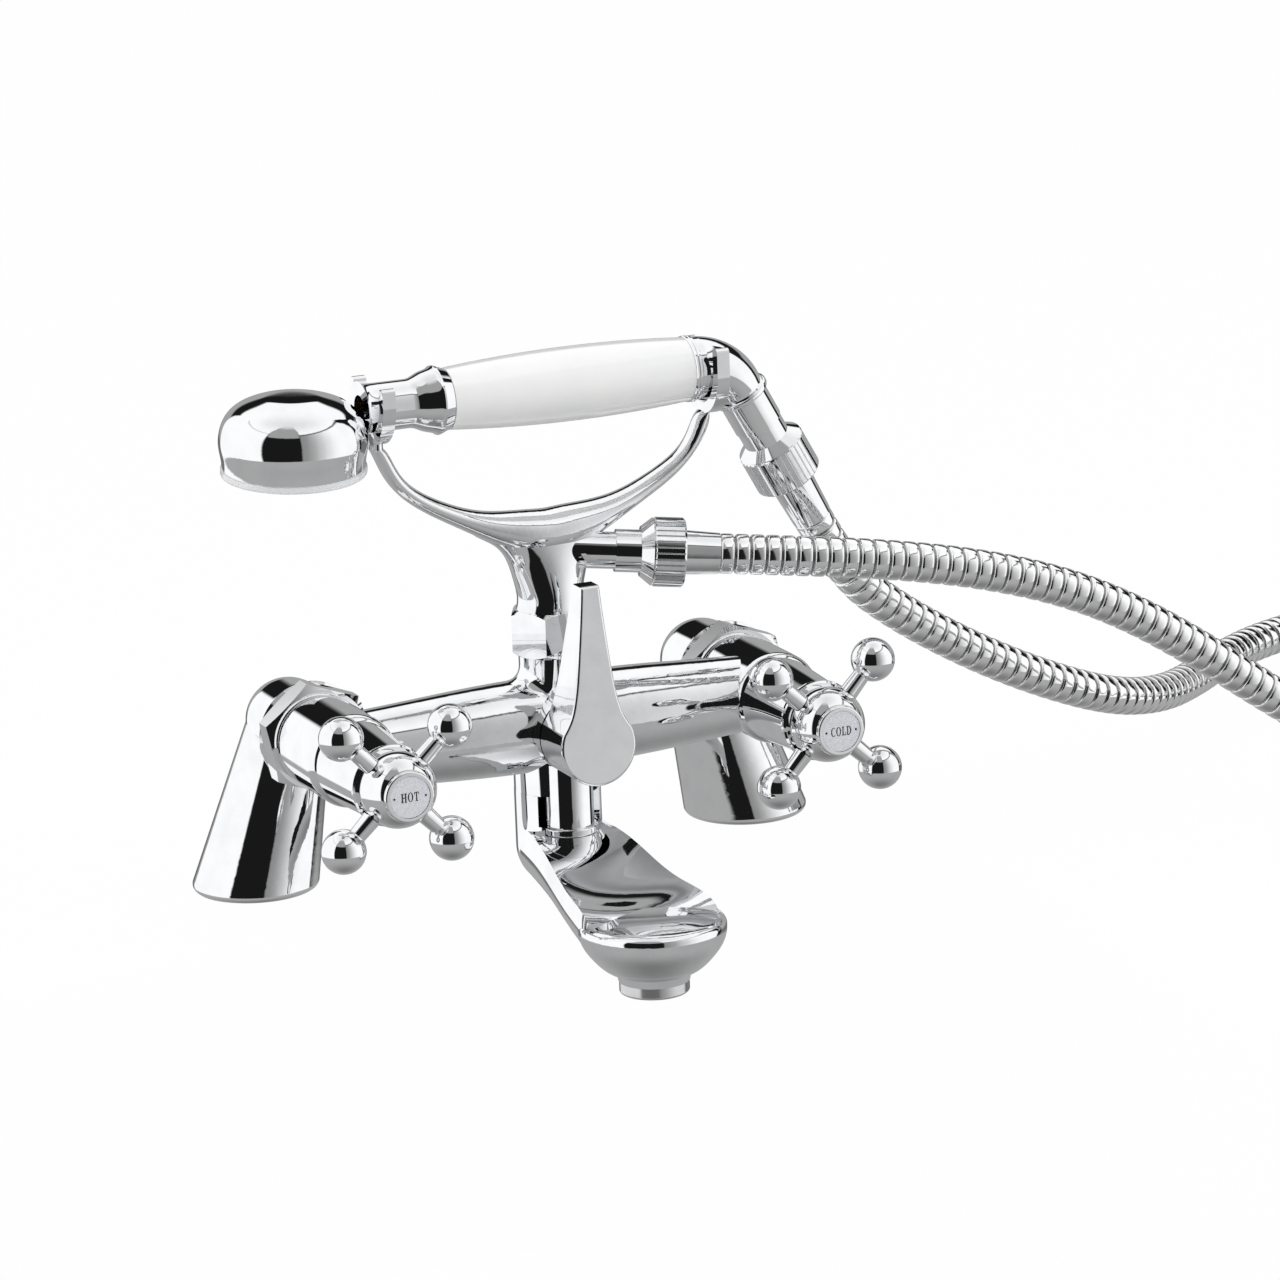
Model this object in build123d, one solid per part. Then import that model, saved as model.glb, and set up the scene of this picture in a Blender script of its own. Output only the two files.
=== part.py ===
"""Bath shower mixer: two leaning deck legs carry a cast body with a hot and a cold
quarter-turn valve, a diverter with a flat lever, a spout, and a forked cradle that
holds a telephone-style handset on a ribbed metal hose.

Frame: millimetres, origin on the deck midway between the two tap holes, +X from the
hot leg to the cold leg, -Y towards the bather, +Z up."""
from math import cos, degrees, pi, radians, sin, sqrt, tan
import os

from build123d import *

# Pipe centres and heights
deck_centres = 180.0          # tap holes of the bath deck, leg base to leg base
valve_centres = 150.0         # hot valve axis to cold valve axis
valve_height = 55.2           # valve, bar and lever axes above the deck
hub_reach = 48.0              # hub axis in front of the leg line

# Clearances
overrun = 1.0                 # how far a cut runs past the face it opens
slip = 0.2                    # screwed and pushed fits
running = 0.05                # radial clearance of turning spindles
seat_gap = 0.3                # face gap between pieces that move apart

# Legs
leg_base_r = 21.4
leg_top_r = 14.2
leg_edge_r = 2.2              # rounded rim at the deck
socket_reach = 17.5           # leg axis to the back of the socket flange
socket_flange_r = 17.4
socket_flange_t = 3.0
socket_edge = 1.2             # bevel of the flange
leg_bore_r = 7.0
inlet_thread_r = 12.1         # G 3/4 tail socket, minor radius
inlet_depth = 14.0
base_seal_recess = 1.6
base_seal_t = 1.5
base_seal_outer_r = 19.0
base_seal_inner_r = 14.5

# Unions between legs and body
union_af = 33.4               # across flats of a union nut
union_nut_t = 8.6
union_nut_turn = 40.0         # how far a corner stands from level, in degrees
union_nut_edge = 1.2          # bevel of its corners
union_spigot_r = 11.4
union_washer_t = 1.5

# Valve barrels and bar of the body
barrel_r = 15.4
barrel_back = 30.2            # back face of a barrel, from the leg line
barrel_front = 62.5           # front face of a barrel, from the leg line
barrel_nose_r = 4.0
barrel_heel_r = 1.5
inlet_bore_r = 6.0
bar_hub_r = 15.6              # bar radius beside the hub
bar_end_r = 12.6              # bar radius at the barrels
bar_shares = ((0.6, 0.68), (1.0, 0.2))   # share of the half bar, share of the taper left
bar_bore_r = 6.0

# Hub
hub_neck_r = 11.0
hub_neck_top = 78.6
hub_neck_blend_r = 5.0
hub_thread_r = 10.2
hub_thread_top = 88.0
hub_foot_r = 14.2
hub_foot_bottom = 33.4
hub_boss_r = 13.2
hub_boss_front = 66.4
stem_socket_r = 6.9

# Cartridges, discs and spindles of the two valves
cartridge_bore_r = 9.0
cartridge_back = 38.0
cartridge_neck_r = 6.2
cartridge_front = 76.0
cartridge_wall = 2.4
disc_r = 6.4
disc_t = 2.0
disc_port_r = 2.2
spindle_r = 3.6
spindle_front = 99.2

# Chrome shrouds behind the handles
shroud_back_r = 14.0
shroud_front_r = 12.5
shroud_front = 90.4
shroud_wall = 1.4
shroud_lip_r = 4.6
shroud_web_back = 66.0        # web that screws onto the cartridge neck

# Cross handles
ball_plane = 96.8             # plane of the four balls, from the leg line
ball_circle_r = 25.9
ball_r = 7.2
arm_root_r = 3.1
arm_tip_r = 2.55
arm_spigot_r = 2.2
arm_spigot_back = 6.4
arm_quarter = 90.0            # degrees between the arms
hot_rest_turn = -1.5          # how far the drawn handles stand from a true X, in degrees
cold_rest_turn = 2.5
bulb_r = 12.3
bulb_back_r = 11.4
handle_back = 90.7
skirt_r = 13.3
skirt_t = 2.5
handle_front = 106.4
handle_front_r = 8.5
cup_r = 7.2
cup_back = 103.8
screw_well_r = 4.5
screw_well_back = 101.2
screw_head_r = 3.6
screw_head_t = 2.2
screw_socket_af = 3.0
screw_r = 1.9
screw_length = 9.0
cup_lip_r = 8.3
cup_lip_t = 1.9
index_r = 6.75
index_t = 1.0
index_sink = 0.2

# Diverter
diverter_bore_r = 8.6
diverter_back = 36.0
diverter_wall = 1.9
diverter_neck_r = 6.4
diverter_neck_front = 76.0
diverter_port_r = 4.6
diverter_spindle_r = 3.2
spool_front = 62.0
gland_af = 16.0
gland_t = 3.6
gland_edge = 0.8
lever_disc_r = 13.2
lever_back = 67.0
lever_front = 85.2
lever_tip = 52.4              # lever axis to tip
lever_tip_lean = 3.2          # the blade's face leans back by this much at its tip
lever_tip_t = 6.8
lever_wall = 1.9
lever_face_t = 7.0            # solid front of the lever, behind its face
lever_edge_r = 0.9
# share of the tip height, share of the disc radius: half outline of the blade
lever_blade_shares = ((0.1, 0.91), (0.13, 0.83), (0.19, 0.7), (0.28, 0.59), (0.43, 0.485),
                      (0.61, 0.4), (0.82, 0.31))
lever_tip_half_share = 0.25
# share of the tip height, share of the way from the lever's back to its tip's back
lever_back_shares = ((0.21, 0.0), (0.42, 0.22), (0.63, 0.46))
grub_r = 1.5
grub_length = 3.6
grub_inset = 2.6              # grub axis in front of the start of the solid front

# Outlet spigot and spout
spigot_reach = 57.0           # spigot axis in front of the leg line
spigot_r = 8.2
spigot_bore_r = 5.6
spigot_top = 44.0
spigot_ring_r = 9.4
spigot_ring_t = 2.8
spigot_seat = 20.2            # ring's underside above the deck
spigot_tail_r = 7.0
spigot_tail_end = 12.0
spout_neck_r = 14.3
spout_scoop_r = 12.0
spout_scoop_reach = 62.0
spout_heel_z = 14.0           # centre of the rounded heel
spout_reach = 122.0           # aerator axis in front of the leg line
spout_nose_r = 23.8
spout_nose_z = 5.2            # height of the widest line at the nose
spout_rim_back = 21.5         # rim of the open trough, at the heel
spout_rim_front = 8.9
spout_rim_inset = 1.5         # rim inside the widest line
spout_crown = 9.4             # top of the nose
spout_crown_share = 0.84      # share of the nose radius at which its top turns down
spout_crown_drop_share = 0.33
spout_sag = 3.4               # hollow of the trough between its rims
spout_belly_front = -12.0
# shares of reach, width, widest line, rim, belly and sag along the spout
spout_shares = ((0.0, 0.0, 0.0, 0.0, 0.0, 0.5), (0.19, 0.17, 0.06, 0.08, 0.17, 1.0),
                (0.38, 0.36, 0.23, 0.28, 0.36, 1.0), (0.62, 0.6, 0.62, 0.64, 0.62, 1.0),
                (0.85, 0.85, 0.85, 0.78, 0.85, 0.7), (1.0, 1.0, 1.0, 1.0, 1.0, 0.15))
# share of the half width, share of the depth below the widest line
spout_belly_shares = ((1.0, 0.0), (0.955, 0.3), (0.82, 0.57), (0.6, 0.83), (0.3, 0.965))
spout_bore_r = 5.0
spout_bore_back_z = 6.5
spout_bore_front_z = -1.5
dowel_r = 2.0
dowel_half = 4.5
dowel_inset = 7.5             # dowel axis behind the hub axis
aerator_r = 11.3
aerator_top = -12.5
aerator_bottom = -16.4
aerator_cup_rise = 6.0        # how far the cup round the aerator reaches up into the nose
aerator_thread_r = 10.2
aerator_thread_t = 5.2
aerator_bore_r = 8.8
aerator_mesh_t = 2.6
aerator_hole_r = 0.7
aerator_hole_rings = ((2.8, 6), (5.6, 12))
aerator_washer_t = 1.6
aerator_washer_inner_r = 6.4
aerator_edge_r = 0.8

# Collar nut, cradle stem and cradle
collar_af = 24.0
collar_bottom = 79.0
collar_top = 94.0
collar_lip_t = 3.2
collar_lip_bore_r = 9.1
collar_edge = 1.4
stem_flange_r = 9.9
stem_flange_t = 2.4
stem_spigot_r = 6.7
stem_spigot_length = 9.0
stem_bore_r = 4.0
stem_neck_r = 8.9
o_ring_r = 0.85
o_ring_groove = 2.2
stem_half_x = 11.3
stem_half_y = 10.5
cradle_half = 58.2            # cradle axis to the middle of a fork
stem_shoulder = 121.5         # height at which the stem ends inside the arms
yoke_height = 119.5           # middle of the arms over the stem
yoke_half = 7.3               # half height of the arms there
yoke_depth = 9.0              # half depth of the arms there
fork_t = 4.4
fork_inner_r = 10.8
fork_wall = 3.6
fork_top = 175.2
fork_top_r = 1.6
cold_fork_drop = 0.9          # the elbow already dips where it crosses the cold fork
# share from stem foot to shoulder, share from the stem's to the shoulder's half width, and
# half depth as a share of the stem's
stem_shares = ((0.0, 0.0, 1.0), (0.36, 0.05, 0.94), (0.49, 0.12, 0.89), (0.73, 0.33, 0.8),
               (0.9, 0.72, 0.72), (1.0, 1.0, 0.64))
stem_shoulder_share = 0.45    # shoulder's half width as a share of the cradle's half
# an arm outwards: shares of the cradle half and of the rise to the fork, then half height and
# half depth as shares of those over the stem
arm_shares = ((0.337, 0.107, 0.685, 0.8), (0.569, 0.272, 0.43, 0.6), (0.768, 0.465, 0.35, 0.5),
              (0.9, 0.687, 0.325, 0.45), (0.965, 0.9, 0.32, 0.43))
arm_slopes = (11.0, 21.0, 34.0, 54.0, 70.0)   # degrees, at the same places
arm_end_share = 0.42          # half depth of the arm under its fork, as a share

# Shower outlet on the stem
outlet_height = 113.4
outlet_swing = 18.5           # towards the bather from +X, in degrees
outlet_dip = 5.0              # below level, in degrees
outlet_root_r = 6.05
outlet_bore_r = 3.6
outlet_tail_r = 4.8
outlet_tail_start = 16.0      # distances along the outlet from the stem axis
outlet_seam = 21.8
outlet_neck_r = 7.0
outlet_flare_start = 30.0
outlet_flare_start_r = 8.2
outlet_flare_end = 33.8
outlet_nut_length = 10.4
outlet_end = 56.0             # far face of the ferrule

# Hose ends, for G 1/2 nuts
nipple_r = 10.2               # cut thread, over its crests
nut_r = 11.35
nut_bore_r = 10.5
nut_lip_t = 1.5
nut_edge = 0.7
knurl_r = 0.35
knurl_count = 36
ferrule_r = 7.3
ferrule_tip_r = 6.7
ferrule_flange_r = 9.9
ferrule_flange_t = 2.2
hose_washer_t = 1.8
hose_washer_inner_r = 5.0

# Handset, along its own axis from the cradle's middle plane
handset_height = 167.0
handset_roll = 5.0            # the tail swings back by this much, in degrees
grip_start = -33.6
grip_end = 50.4
grip_middle = 6.5
grip_start_r = 10.0
grip_middle_r = 12.1
grip_end_r = 10.5
grip_bore_r = 6.4
tube_r = 6.2
tube_bore_r = 4.6
tube_start = -60.0
tube_end = 55.0
neck_r = 7.9
neck_front = -47.0
neck_back = -57.5
neck_root_r = 9.0
neck_root = -63.0
flare_r = 11.2
flare_peak = -37.6
flare_start_r = 9.9
flare_waist = -42.0           # where the flare has fallen halfway to the neck
head_reach = 85.6             # spray axis from the cradle's middle plane
head_r = 23.9
head_foot_r = 22.9            # radius at the spray plate
head_bottom = -16.2           # heights from the handset axis
head_shoulder = -2.6          # height where the cavity starts to close in
head_top = 7.2
head_wall = 2.0
# shares of the head's radius and of its height, from the widest line over the dome
head_dome_shares = ((1.0, 0.36), (0.985, 0.5), (0.93, 0.66), (0.78, 0.83), (0.46, 0.96), (0.0, 1.0))
head_ledge = 1.4
plate_r = 23.4
plate_t = 2.2
plate_spigot_t = 1.6
nozzle_r = 0.7
nozzle_rings = ((6.0, 8), (11.0, 12), (16.0, 16))
gasket_t = 1.2
collar_ring_r = 10.9
collar_ring_root_r = 10.5
elbow_start = 53.0
elbow_start_r = 10.3
elbow_end_r = 8.2
elbow_turn = 60.0             # the tail drops from the handset axis by this much
elbow_vertex = 65.0
elbow_bend_r = 17.0
elbow_bore_r = 4.6
elbow_socket_depth = 2.6
elbow_steps = 6               # sections of the bend
bead_r = 9.4
bead_t = 2.0
bead_centre = 11.8            # distances down the tail from the elbow vertex
tail_seam = 24.6
tail_r = 7.8
tail_socket_r = 5.8
tail_socket_depth = 6.0
tail_bore_r = 3.6
tail_flare_t = 2.8            # flare that closes the back of the nut
tail_nut_start = 33.7
tail_nut_length = 14.1
tail_end = 64.7               # far face of the ferrule

# Hose
hose_r = 6.6                  # crest of a rib
hose_root_r = 5.7
hose_bore_r = 4.0
rib_pitch = 5.1
rib_shares = (0.0, 0.14, 0.66, 0.8)   # foot, crest, crest and foot of a rib
corner_share = 0.45           # of the shorter run that each arc takes up
first_run = 25.0              # way out of a ferrule up to the first corner
coil_x = 396.0
coil_y = -28.0
coil_r = 80.0
coil_height = 6.7             # centreline of the lower layer
coil_gap = 0.8                # between neighbouring turns and layers
coil_quarters = 6
coil_lead = 13.4              # straight at each end of the coil
stem_side_route = ((106.0, -79.5, 102.6), (137.0, -84.0, 96.6), (166.0, -87.3, 87.8),
                   (191.0, -90.0, 76.0), (216.0, -92.8, 60.0), (240.0, -95.5, 42.5),
                   (264.0, -98.7, 26.0), (290.0, -102.5, 13.5), (319.0, -106.5, 7.9),
                   (355.0, -108.0, 6.7))
handset_side_route = ((129.0, -42.0, 73.5), (155.0, -43.5, 57.2), (183.0, -42.0, 43.0),
                      (213.0, -36.0, 30.9), (241.0, -20.0, 24.0), (266.0, 1.0, 21.4),
                      (290.0, 22.5, 20.9), (318.0, 40.5, 20.8), (354.0, 52.0, 20.7))

half_valves = valve_centres / 2
half_deck = deck_centres / 2
sides = {"hot": -1, "cold": 1}
rest_turns = {"hot": hot_rest_turn, "cold": cold_rest_turn}


def forward(x, reach, z):
    """Frame on a forward-facing axis: local Z towards the bather, local Y up."""
    return Plane(origin=(x, -reach, z), x_dir=(1, 0, 0), z_dir=(0, -1, 0))


def upright(reach):
    """Frame on a vertical axis in the middle plane."""
    return Plane(origin=(0, -reach, 0))


def sideways(x, reach, z):
    """Frame on an axis along +X: local X backwards, local Y up."""
    return Plane(origin=(x, -reach, z), x_dir=(0, 1, 0), z_dir=(1, 0, 0))


def rod(frame, radius, start, end):
    return extrude(frame.offset(start) * Circle(radius), end - start)


def ring(frame, outer, inner, start, end):
    return extrude(frame.offset(start) * (Circle(outer) - Circle(inner)), end - start)


def cone(frame, start_r, end_r, start, end):
    return loft([frame.offset(start) * Circle(start_r), frame.offset(end) * Circle(end_r)])


def turned(frame, *edges):
    """Solid of revolution about the frame's Z; edges are drawn as (radius, height)."""
    curve = edges[0]
    for edge in edges[1:]:
        curve = curve + edge
    return frame.location * revolve(make_face(Plane.XZ * curve), Axis.Z)


def hexagon(frame, across_flats, start, end, turn=0):
    shape = Rot(0, 0, turn) * RegularPolygon(across_flats / 2, 6, major_radius=False)
    return extrude(frame.offset(start) * shape, end - start)


def barrel(frame, flat_r, full_r, start, end, edge):
    """Envelope with bevelled ends, which turns off corners."""
    return turned(frame, Polyline((0, start), (flat_r, start), (full_r, start + edge),
                                  (full_r, end - edge), (flat_r, end), (0, end), (0, start)))


def bevelled_hexagon(frame, across_flats, start, end, edge, turn=0):
    corner_r = across_flats / sqrt(3)
    envelope = barrel(frame, across_flats / 2, corner_r, start, end, edge)
    return hexagon(frame, across_flats, start, end, turn) & envelope


def mix(first, last, share):
    return first + (last - first) * share


def save(name, *solids):
    """Write one node; several solids stay separate inside it."""
    shapes = []
    for item in solids:
        shapes.extend(item.solids())
    node = shapes[0] if len(shapes) == 1 else Compound(children=shapes)
    export_step(node, f"parts/{name}.step")


# Legs and unions

def make_leg(side):
    x_top = side * half_valves
    x_base = side * half_deck
    base_frame = Plane(origin=(x_base, 0, 0))
    column = loft([base_frame * Circle(leg_base_r),
                   Plane(origin=(x_top, 0, valve_height)) * Circle(leg_top_r)])
    leg = fillet(column.edges().sort_by(Axis.Z)[0], leg_edge_r)
    leg += Pos(x_top, 0, valve_height) * Sphere(leg_top_r)
    socket = forward(x_top, 0, valve_height)
    leg += rod(socket, leg_top_r, 0, socket_reach)
    flange = rod(socket, socket_flange_r, socket_reach, socket_reach + socket_flange_t)
    leg += chamfer(flange.edges(), socket_edge)
    lean = Plane(origin=(x_base, 0, 0), z_dir=(x_top - x_base, 0, valve_height))
    leg -= rod(lean, leg_bore_r, 0, sqrt(valve_height ** 2 + (x_top - x_base) ** 2))
    leg -= rod(socket, leg_bore_r, 0, socket_reach + socket_flange_t + overrun)
    leg -= rod(base_frame, inlet_thread_r, -overrun, inlet_depth)
    leg -= ring(base_frame, base_seal_outer_r + slip, base_seal_inner_r - slip,
                -overrun, base_seal_recess)
    return leg


def make_base_seal(side):
    return ring(Plane(origin=(side * half_deck, 0, 0)), base_seal_outer_r, base_seal_inner_r,
                base_seal_recess - base_seal_t, base_seal_recess)


def make_union(side):
    socket = forward(side * half_valves, 0, valve_height)
    face = socket_reach + socket_flange_t
    washer = ring(socket, union_spigot_r - slip, leg_bore_r, face, face + union_washer_t)
    back = face + seat_gap
    nut = bevelled_hexagon(socket, union_af, back, back + union_nut_t, union_nut_edge,
                           union_nut_turn)
    nut -= rod(socket, union_spigot_r + slip, back - overrun, back + union_nut_t + overrun)
    return washer, nut


# Body

def bar_outline():
    """Half outline of the bar from the hub into a barrel, as (radius, X)."""
    taper = bar_hub_r - bar_end_r
    reach = half_valves - barrel_r
    points = [(bar_hub_r, 0)]
    for reach_share, taper_share in bar_shares:
        points.append((bar_end_r + taper * taper_share, reach * reach_share))
    points.append((bar_end_r, half_valves))
    return points


def make_body():
    along_x = sideways(0, hub_reach, valve_height)
    half = bar_outline()
    points = [(r, -x) for r, x in reversed(half[1:])] + half
    bar = turned(along_x, Spline(*points),
                 Polyline(points[-1], (0, half_valves), (0, -half_valves), points[0]))
    body = bar + rod(upright(hub_reach), hub_neck_r, valve_height, hub_neck_top)
    seam = [edge for edge in body.edges() if edge.geom_type != GeomType.CIRCLE
            and valve_height + hub_neck_r / 2 < edge.center().Z < hub_neck_top - overrun
            and abs(edge.center().X) < hub_neck_r]
    body = fillet(seam, hub_neck_blend_r)
    for side in sides.values():
        frame = forward(side * half_valves, 0, valve_height)
        cylinder = rod(frame, barrel_r, barrel_back, barrel_front)
        cylinder = fillet(cylinder.edges().group_by(Axis.Y)[0], barrel_nose_r)
        body += fillet(cylinder.edges().group_by(Axis.Y)[-1], barrel_heel_r)
    body += rod(upright(hub_reach), hub_foot_r, hub_foot_bottom, valve_height)
    body += rod(forward(0, 0, valve_height), hub_boss_r, hub_reach, hub_boss_front)
    body += rod(upright(hub_reach), hub_thread_r, hub_neck_top - overrun, hub_thread_top)
    spigot_start = socket_reach + socket_flange_t + union_washer_t
    for side in sides.values():
        frame = forward(side * half_valves, 0, valve_height)
        body += rod(frame, union_spigot_r, spigot_start, barrel_back + overrun)
        body -= rod(frame, inlet_bore_r, spigot_start - overrun, cartridge_back + overrun)
        body -= rod(frame, cartridge_bore_r, cartridge_back, barrel_front + overrun)
    body -= rod(along_x, bar_bore_r, -half_valves, half_valves)
    body -= rod(forward(0, 0, valve_height), diverter_bore_r, diverter_back,
                hub_boss_front + overrun)
    body -= rod(upright(hub_reach), stem_socket_r, valve_height, hub_thread_top + overrun)
    body -= rod(upright(spigot_reach), spigot_r + slip / 2, hub_foot_bottom - overrun,
                spigot_top)
    body -= rod(upright(spigot_reach), spigot_bore_r, spigot_top - overrun, valve_height)
    body -= rod(upright(hub_reach - dowel_inset), dowel_r + running,
                hub_foot_bottom - overrun, hub_foot_bottom + dowel_half)
    return body


# Valves

def make_valve(side):
    x = side * half_valves
    frame = forward(x, 0, valve_height)
    shell_r = cartridge_bore_r - slip / 2
    cartridge = rod(frame, shell_r, cartridge_back, barrel_front + overrun)
    cartridge += rod(frame, cartridge_neck_r, barrel_front, cartridge_front)
    chamber_front = barrel_front - cartridge_wall
    cartridge -= rod(frame, disc_r + slip, cartridge_back - overrun, chamber_front)
    cartridge -= rod(frame, spindle_r + running, cartridge_back, cartridge_front + overrun)
    port = Plane(origin=(x, -hub_reach, valve_height), x_dir=(0, 1, 0), z_dir=(-side, 0, 0))
    cartridge -= rod(port, bar_bore_r - slip, 0, cartridge_bore_r + overrun)
    offset = disc_r / 2
    fixed_disc = rod(frame, disc_r, cartridge_back, cartridge_back + disc_t)
    fixed_disc -= rod(forward(x, 0, valve_height + offset), disc_port_r,
                      cartridge_back - overrun, cartridge_back + disc_t + overrun)
    moving_back = cartridge_back + disc_t + running
    spindle = rod(frame, disc_r, moving_back, moving_back + disc_t)
    spindle -= rod(forward(x, 0, valve_height - offset), disc_port_r,
                   moving_back - overrun, moving_back + disc_t + overrun)
    spindle += rod(frame, spindle_r, moving_back + disc_t, spindle_front)
    spindle -= rod(frame, screw_r + slip / 2, screw_well_back - screw_length,
                   spindle_front + overrun)
    return cartridge, fixed_disc, spindle


def make_shroud(side):
    back = barrel_front + seat_gap
    web_front = shroud_web_back + shroud_wall
    lip_back = shroud_front - shroud_wall
    inner_back = shroud_back_r - shroud_wall
    inner_front = shroud_front_r - shroud_wall
    bore = cartridge_neck_r + slip / 2
    return turned(forward(side * half_valves, 0, valve_height), Polyline(
        (inner_back, back), (shroud_back_r, back), (shroud_front_r, lip_back),
        (shroud_front_r - shroud_wall / 2, shroud_front), (shroud_lip_r, shroud_front),
        (shroud_lip_r, lip_back), (inner_front, lip_back), (inner_back, web_front),
        (bore, web_front), (bore, shroud_web_back), (inner_back, shroud_web_back),
        (inner_back, back)))


def make_handle(side, rest_turn):
    x = side * half_valves
    frame = forward(x, 0, valve_height)
    bulb_back = handle_back + skirt_t
    bulb = turned(
        frame,
        Polyline((0, handle_back), (skirt_r - skirt_t / 3, handle_back),
                 (skirt_r, handle_back + skirt_t / 3), (skirt_r, bulb_back - skirt_t / 4),
                 (skirt_r - skirt_t / 4, bulb_back), (bulb_back_r, bulb_back)),
        ThreePointArc((bulb_back_r, bulb_back), (bulb_r, ball_plane),
                      (handle_front_r, handle_front)),
        Polyline((handle_front_r, handle_front), (0, handle_front), (0, handle_back)))
    hub = bulb - rod(frame, cup_r + slip / 2, cup_back, handle_front + overrun)
    hub -= rod(frame, screw_well_r, screw_well_back, cup_back + overrun)
    hub -= rod(frame, spindle_r + running, handle_back - overrun, spindle_front + slip)
    hub -= rod(frame, screw_r + slip / 2, spindle_front, screw_well_back + overrun)
    arms = []
    for quarter in range(4):
        turn = radians((quarter + 1 / 2) * arm_quarter + rest_turn)
        arm_frame = Plane(origin=(x, -ball_plane, valve_height), x_dir=(0, 1, 0),
                          z_dir=(cos(turn), 0, sin(turn)))
        hub -= rod(arm_frame, arm_spigot_r + slip / 2, arm_spigot_back - slip, bulb_r + overrun)
        arm = cone(arm_frame, arm_root_r, arm_tip_r, bulb_r, ball_circle_r)
        arm += rod(arm_frame, arm_spigot_r, arm_spigot_back, bulb_r + overrun)
        arm += arm_frame.offset(ball_circle_r).location * Sphere(ball_r)
        arms.append(arm)
    screw = rod(frame, screw_head_r, screw_well_back, screw_well_back + screw_head_t)
    screw += rod(frame, screw_r, screw_well_back - screw_length + overrun, screw_well_back)
    screw -= hexagon(frame, screw_socket_af, screw_well_back + screw_head_t / 2,
                     screw_well_back + screw_head_t + overrun)
    lip_front = handle_front + cup_lip_t
    cup = rod(frame, cup_r, cup_back, handle_front)
    lip = rod(frame, cup_lip_r, handle_front, lip_front)
    cup += fillet(lip.edges().group_by(Axis.Y)[0], cup_lip_t / 3)
    pocket = lip_front - index_sink - index_t
    cup -= rod(frame, index_r + slip / 2, pocket, lip_front + overrun)
    plate = rod(frame, index_r, pocket, pocket + index_t)
    return hub, arms, screw, cup, plate


# Diverter

def make_diverter():
    frame = forward(0, 0, valve_height)
    shell_r = diverter_bore_r - slip / 2
    chamber_r = shell_r - diverter_wall
    shell = rod(frame, shell_r, diverter_back, hub_boss_front)
    shell += rod(frame, diverter_neck_r, hub_boss_front, diverter_neck_front)
    shell -= rod(frame, chamber_r, diverter_back + diverter_wall, spool_front + running)
    shell -= rod(frame, diverter_spindle_r + running, diverter_back + diverter_wall,
                 diverter_neck_front + overrun)
    cross = sideways(0, hub_reach, valve_height)
    shell -= rod(cross, diverter_port_r, -diverter_bore_r, diverter_bore_r)
    shell -= rod(upright(hub_reach), diverter_port_r, valve_height,
                 valve_height + diverter_bore_r)
    shell -= rod(upright(spigot_reach), diverter_port_r, valve_height - diverter_bore_r,
                 valve_height)
    spool_back = diverter_back + diverter_wall + running
    spool_r = chamber_r - running
    spool = rod(frame, spool_r, spool_back, spool_front)
    spool -= rod(upright(hub_reach), diverter_port_r, valve_height,
                 valve_height + spool_r + overrun)
    spool -= rod(cross, diverter_port_r, -spool_r - overrun, spool_r + overrun)
    spool += rod(frame, diverter_spindle_r, spool_front, lever_front - lever_face_t / 3)
    gland_back = hub_boss_front + slip
    gland = bevelled_hexagon(frame, gland_af, gland_back, gland_back + gland_t, gland_edge)
    gland -= rod(frame, diverter_neck_r + slip / 2, hub_boss_front, lever_front)
    return shell, spool, gland


def make_lever():
    frame = forward(0, 0, valve_height)
    half = [(lever_disc_r * width, lever_tip * height) for height, width in lever_blade_shares]
    tip_half = lever_disc_r * lever_tip_half_share
    foot_x, foot_z = half[0]
    bowl_r = sqrt(foot_x ** 2 + foot_z ** 2)
    outline = make_face(
        Spline(*half, (tip_half, lever_tip))
        + Spline(*[(-x, z) for x, z in half], (-tip_half, lever_tip))
        + ThreePointArc((foot_x, foot_z), (0, -bowl_r), (-foot_x, foot_z))
        + Line((tip_half, lever_tip), (-tip_half, lever_tip)))
    blank = extrude(frame.offset(lever_back) * outline, lever_front - lever_back)
    tip_front = lever_front - lever_tip_lean
    tip_back = tip_front - lever_tip_t
    bottom = -bowl_r - overrun
    profile = [(lever_back - overrun, bottom), (lever_back - overrun, 0)]
    for height, share in lever_back_shares:
        profile.append((mix(lever_back, tip_back, share), lever_tip * height))
    profile += [(tip_back, lever_tip + overrun), (tip_front, lever_tip + overrun),
                (tip_front, lever_tip), (lever_front, bottom)]
    side_face = make_face(Polyline(*[(-s, z) for s, z in profile], close=True))
    width = bowl_r + overrun
    blade = blank & extrude(sideways(-width, 0, valve_height) * side_face, width * 2)
    front_face = blade.faces().filter_by(GeomType.PLANE).sort_by(Axis.Y)[0]
    blade = fillet(front_face.edges(), lever_edge_r)
    cavity_front = lever_front - lever_face_t
    spindle_end = lever_front - lever_face_t / 3 + slip
    blade -= rod(frame, lever_disc_r - lever_wall, lever_back - overrun, cavity_front)
    blade -= rod(frame, diverter_spindle_r + running, cavity_front - overrun, spindle_end)
    grub_frame = Plane(origin=(0, -cavity_front - grub_inset, valve_height), z_dir=(0, 0, -1))
    blade -= rod(grub_frame, grub_r + running, 0, width)
    grub_start = diverter_spindle_r + running
    grub = rod(grub_frame, grub_r, grub_start, grub_start + grub_length)
    return blade, grub


# Spout

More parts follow.
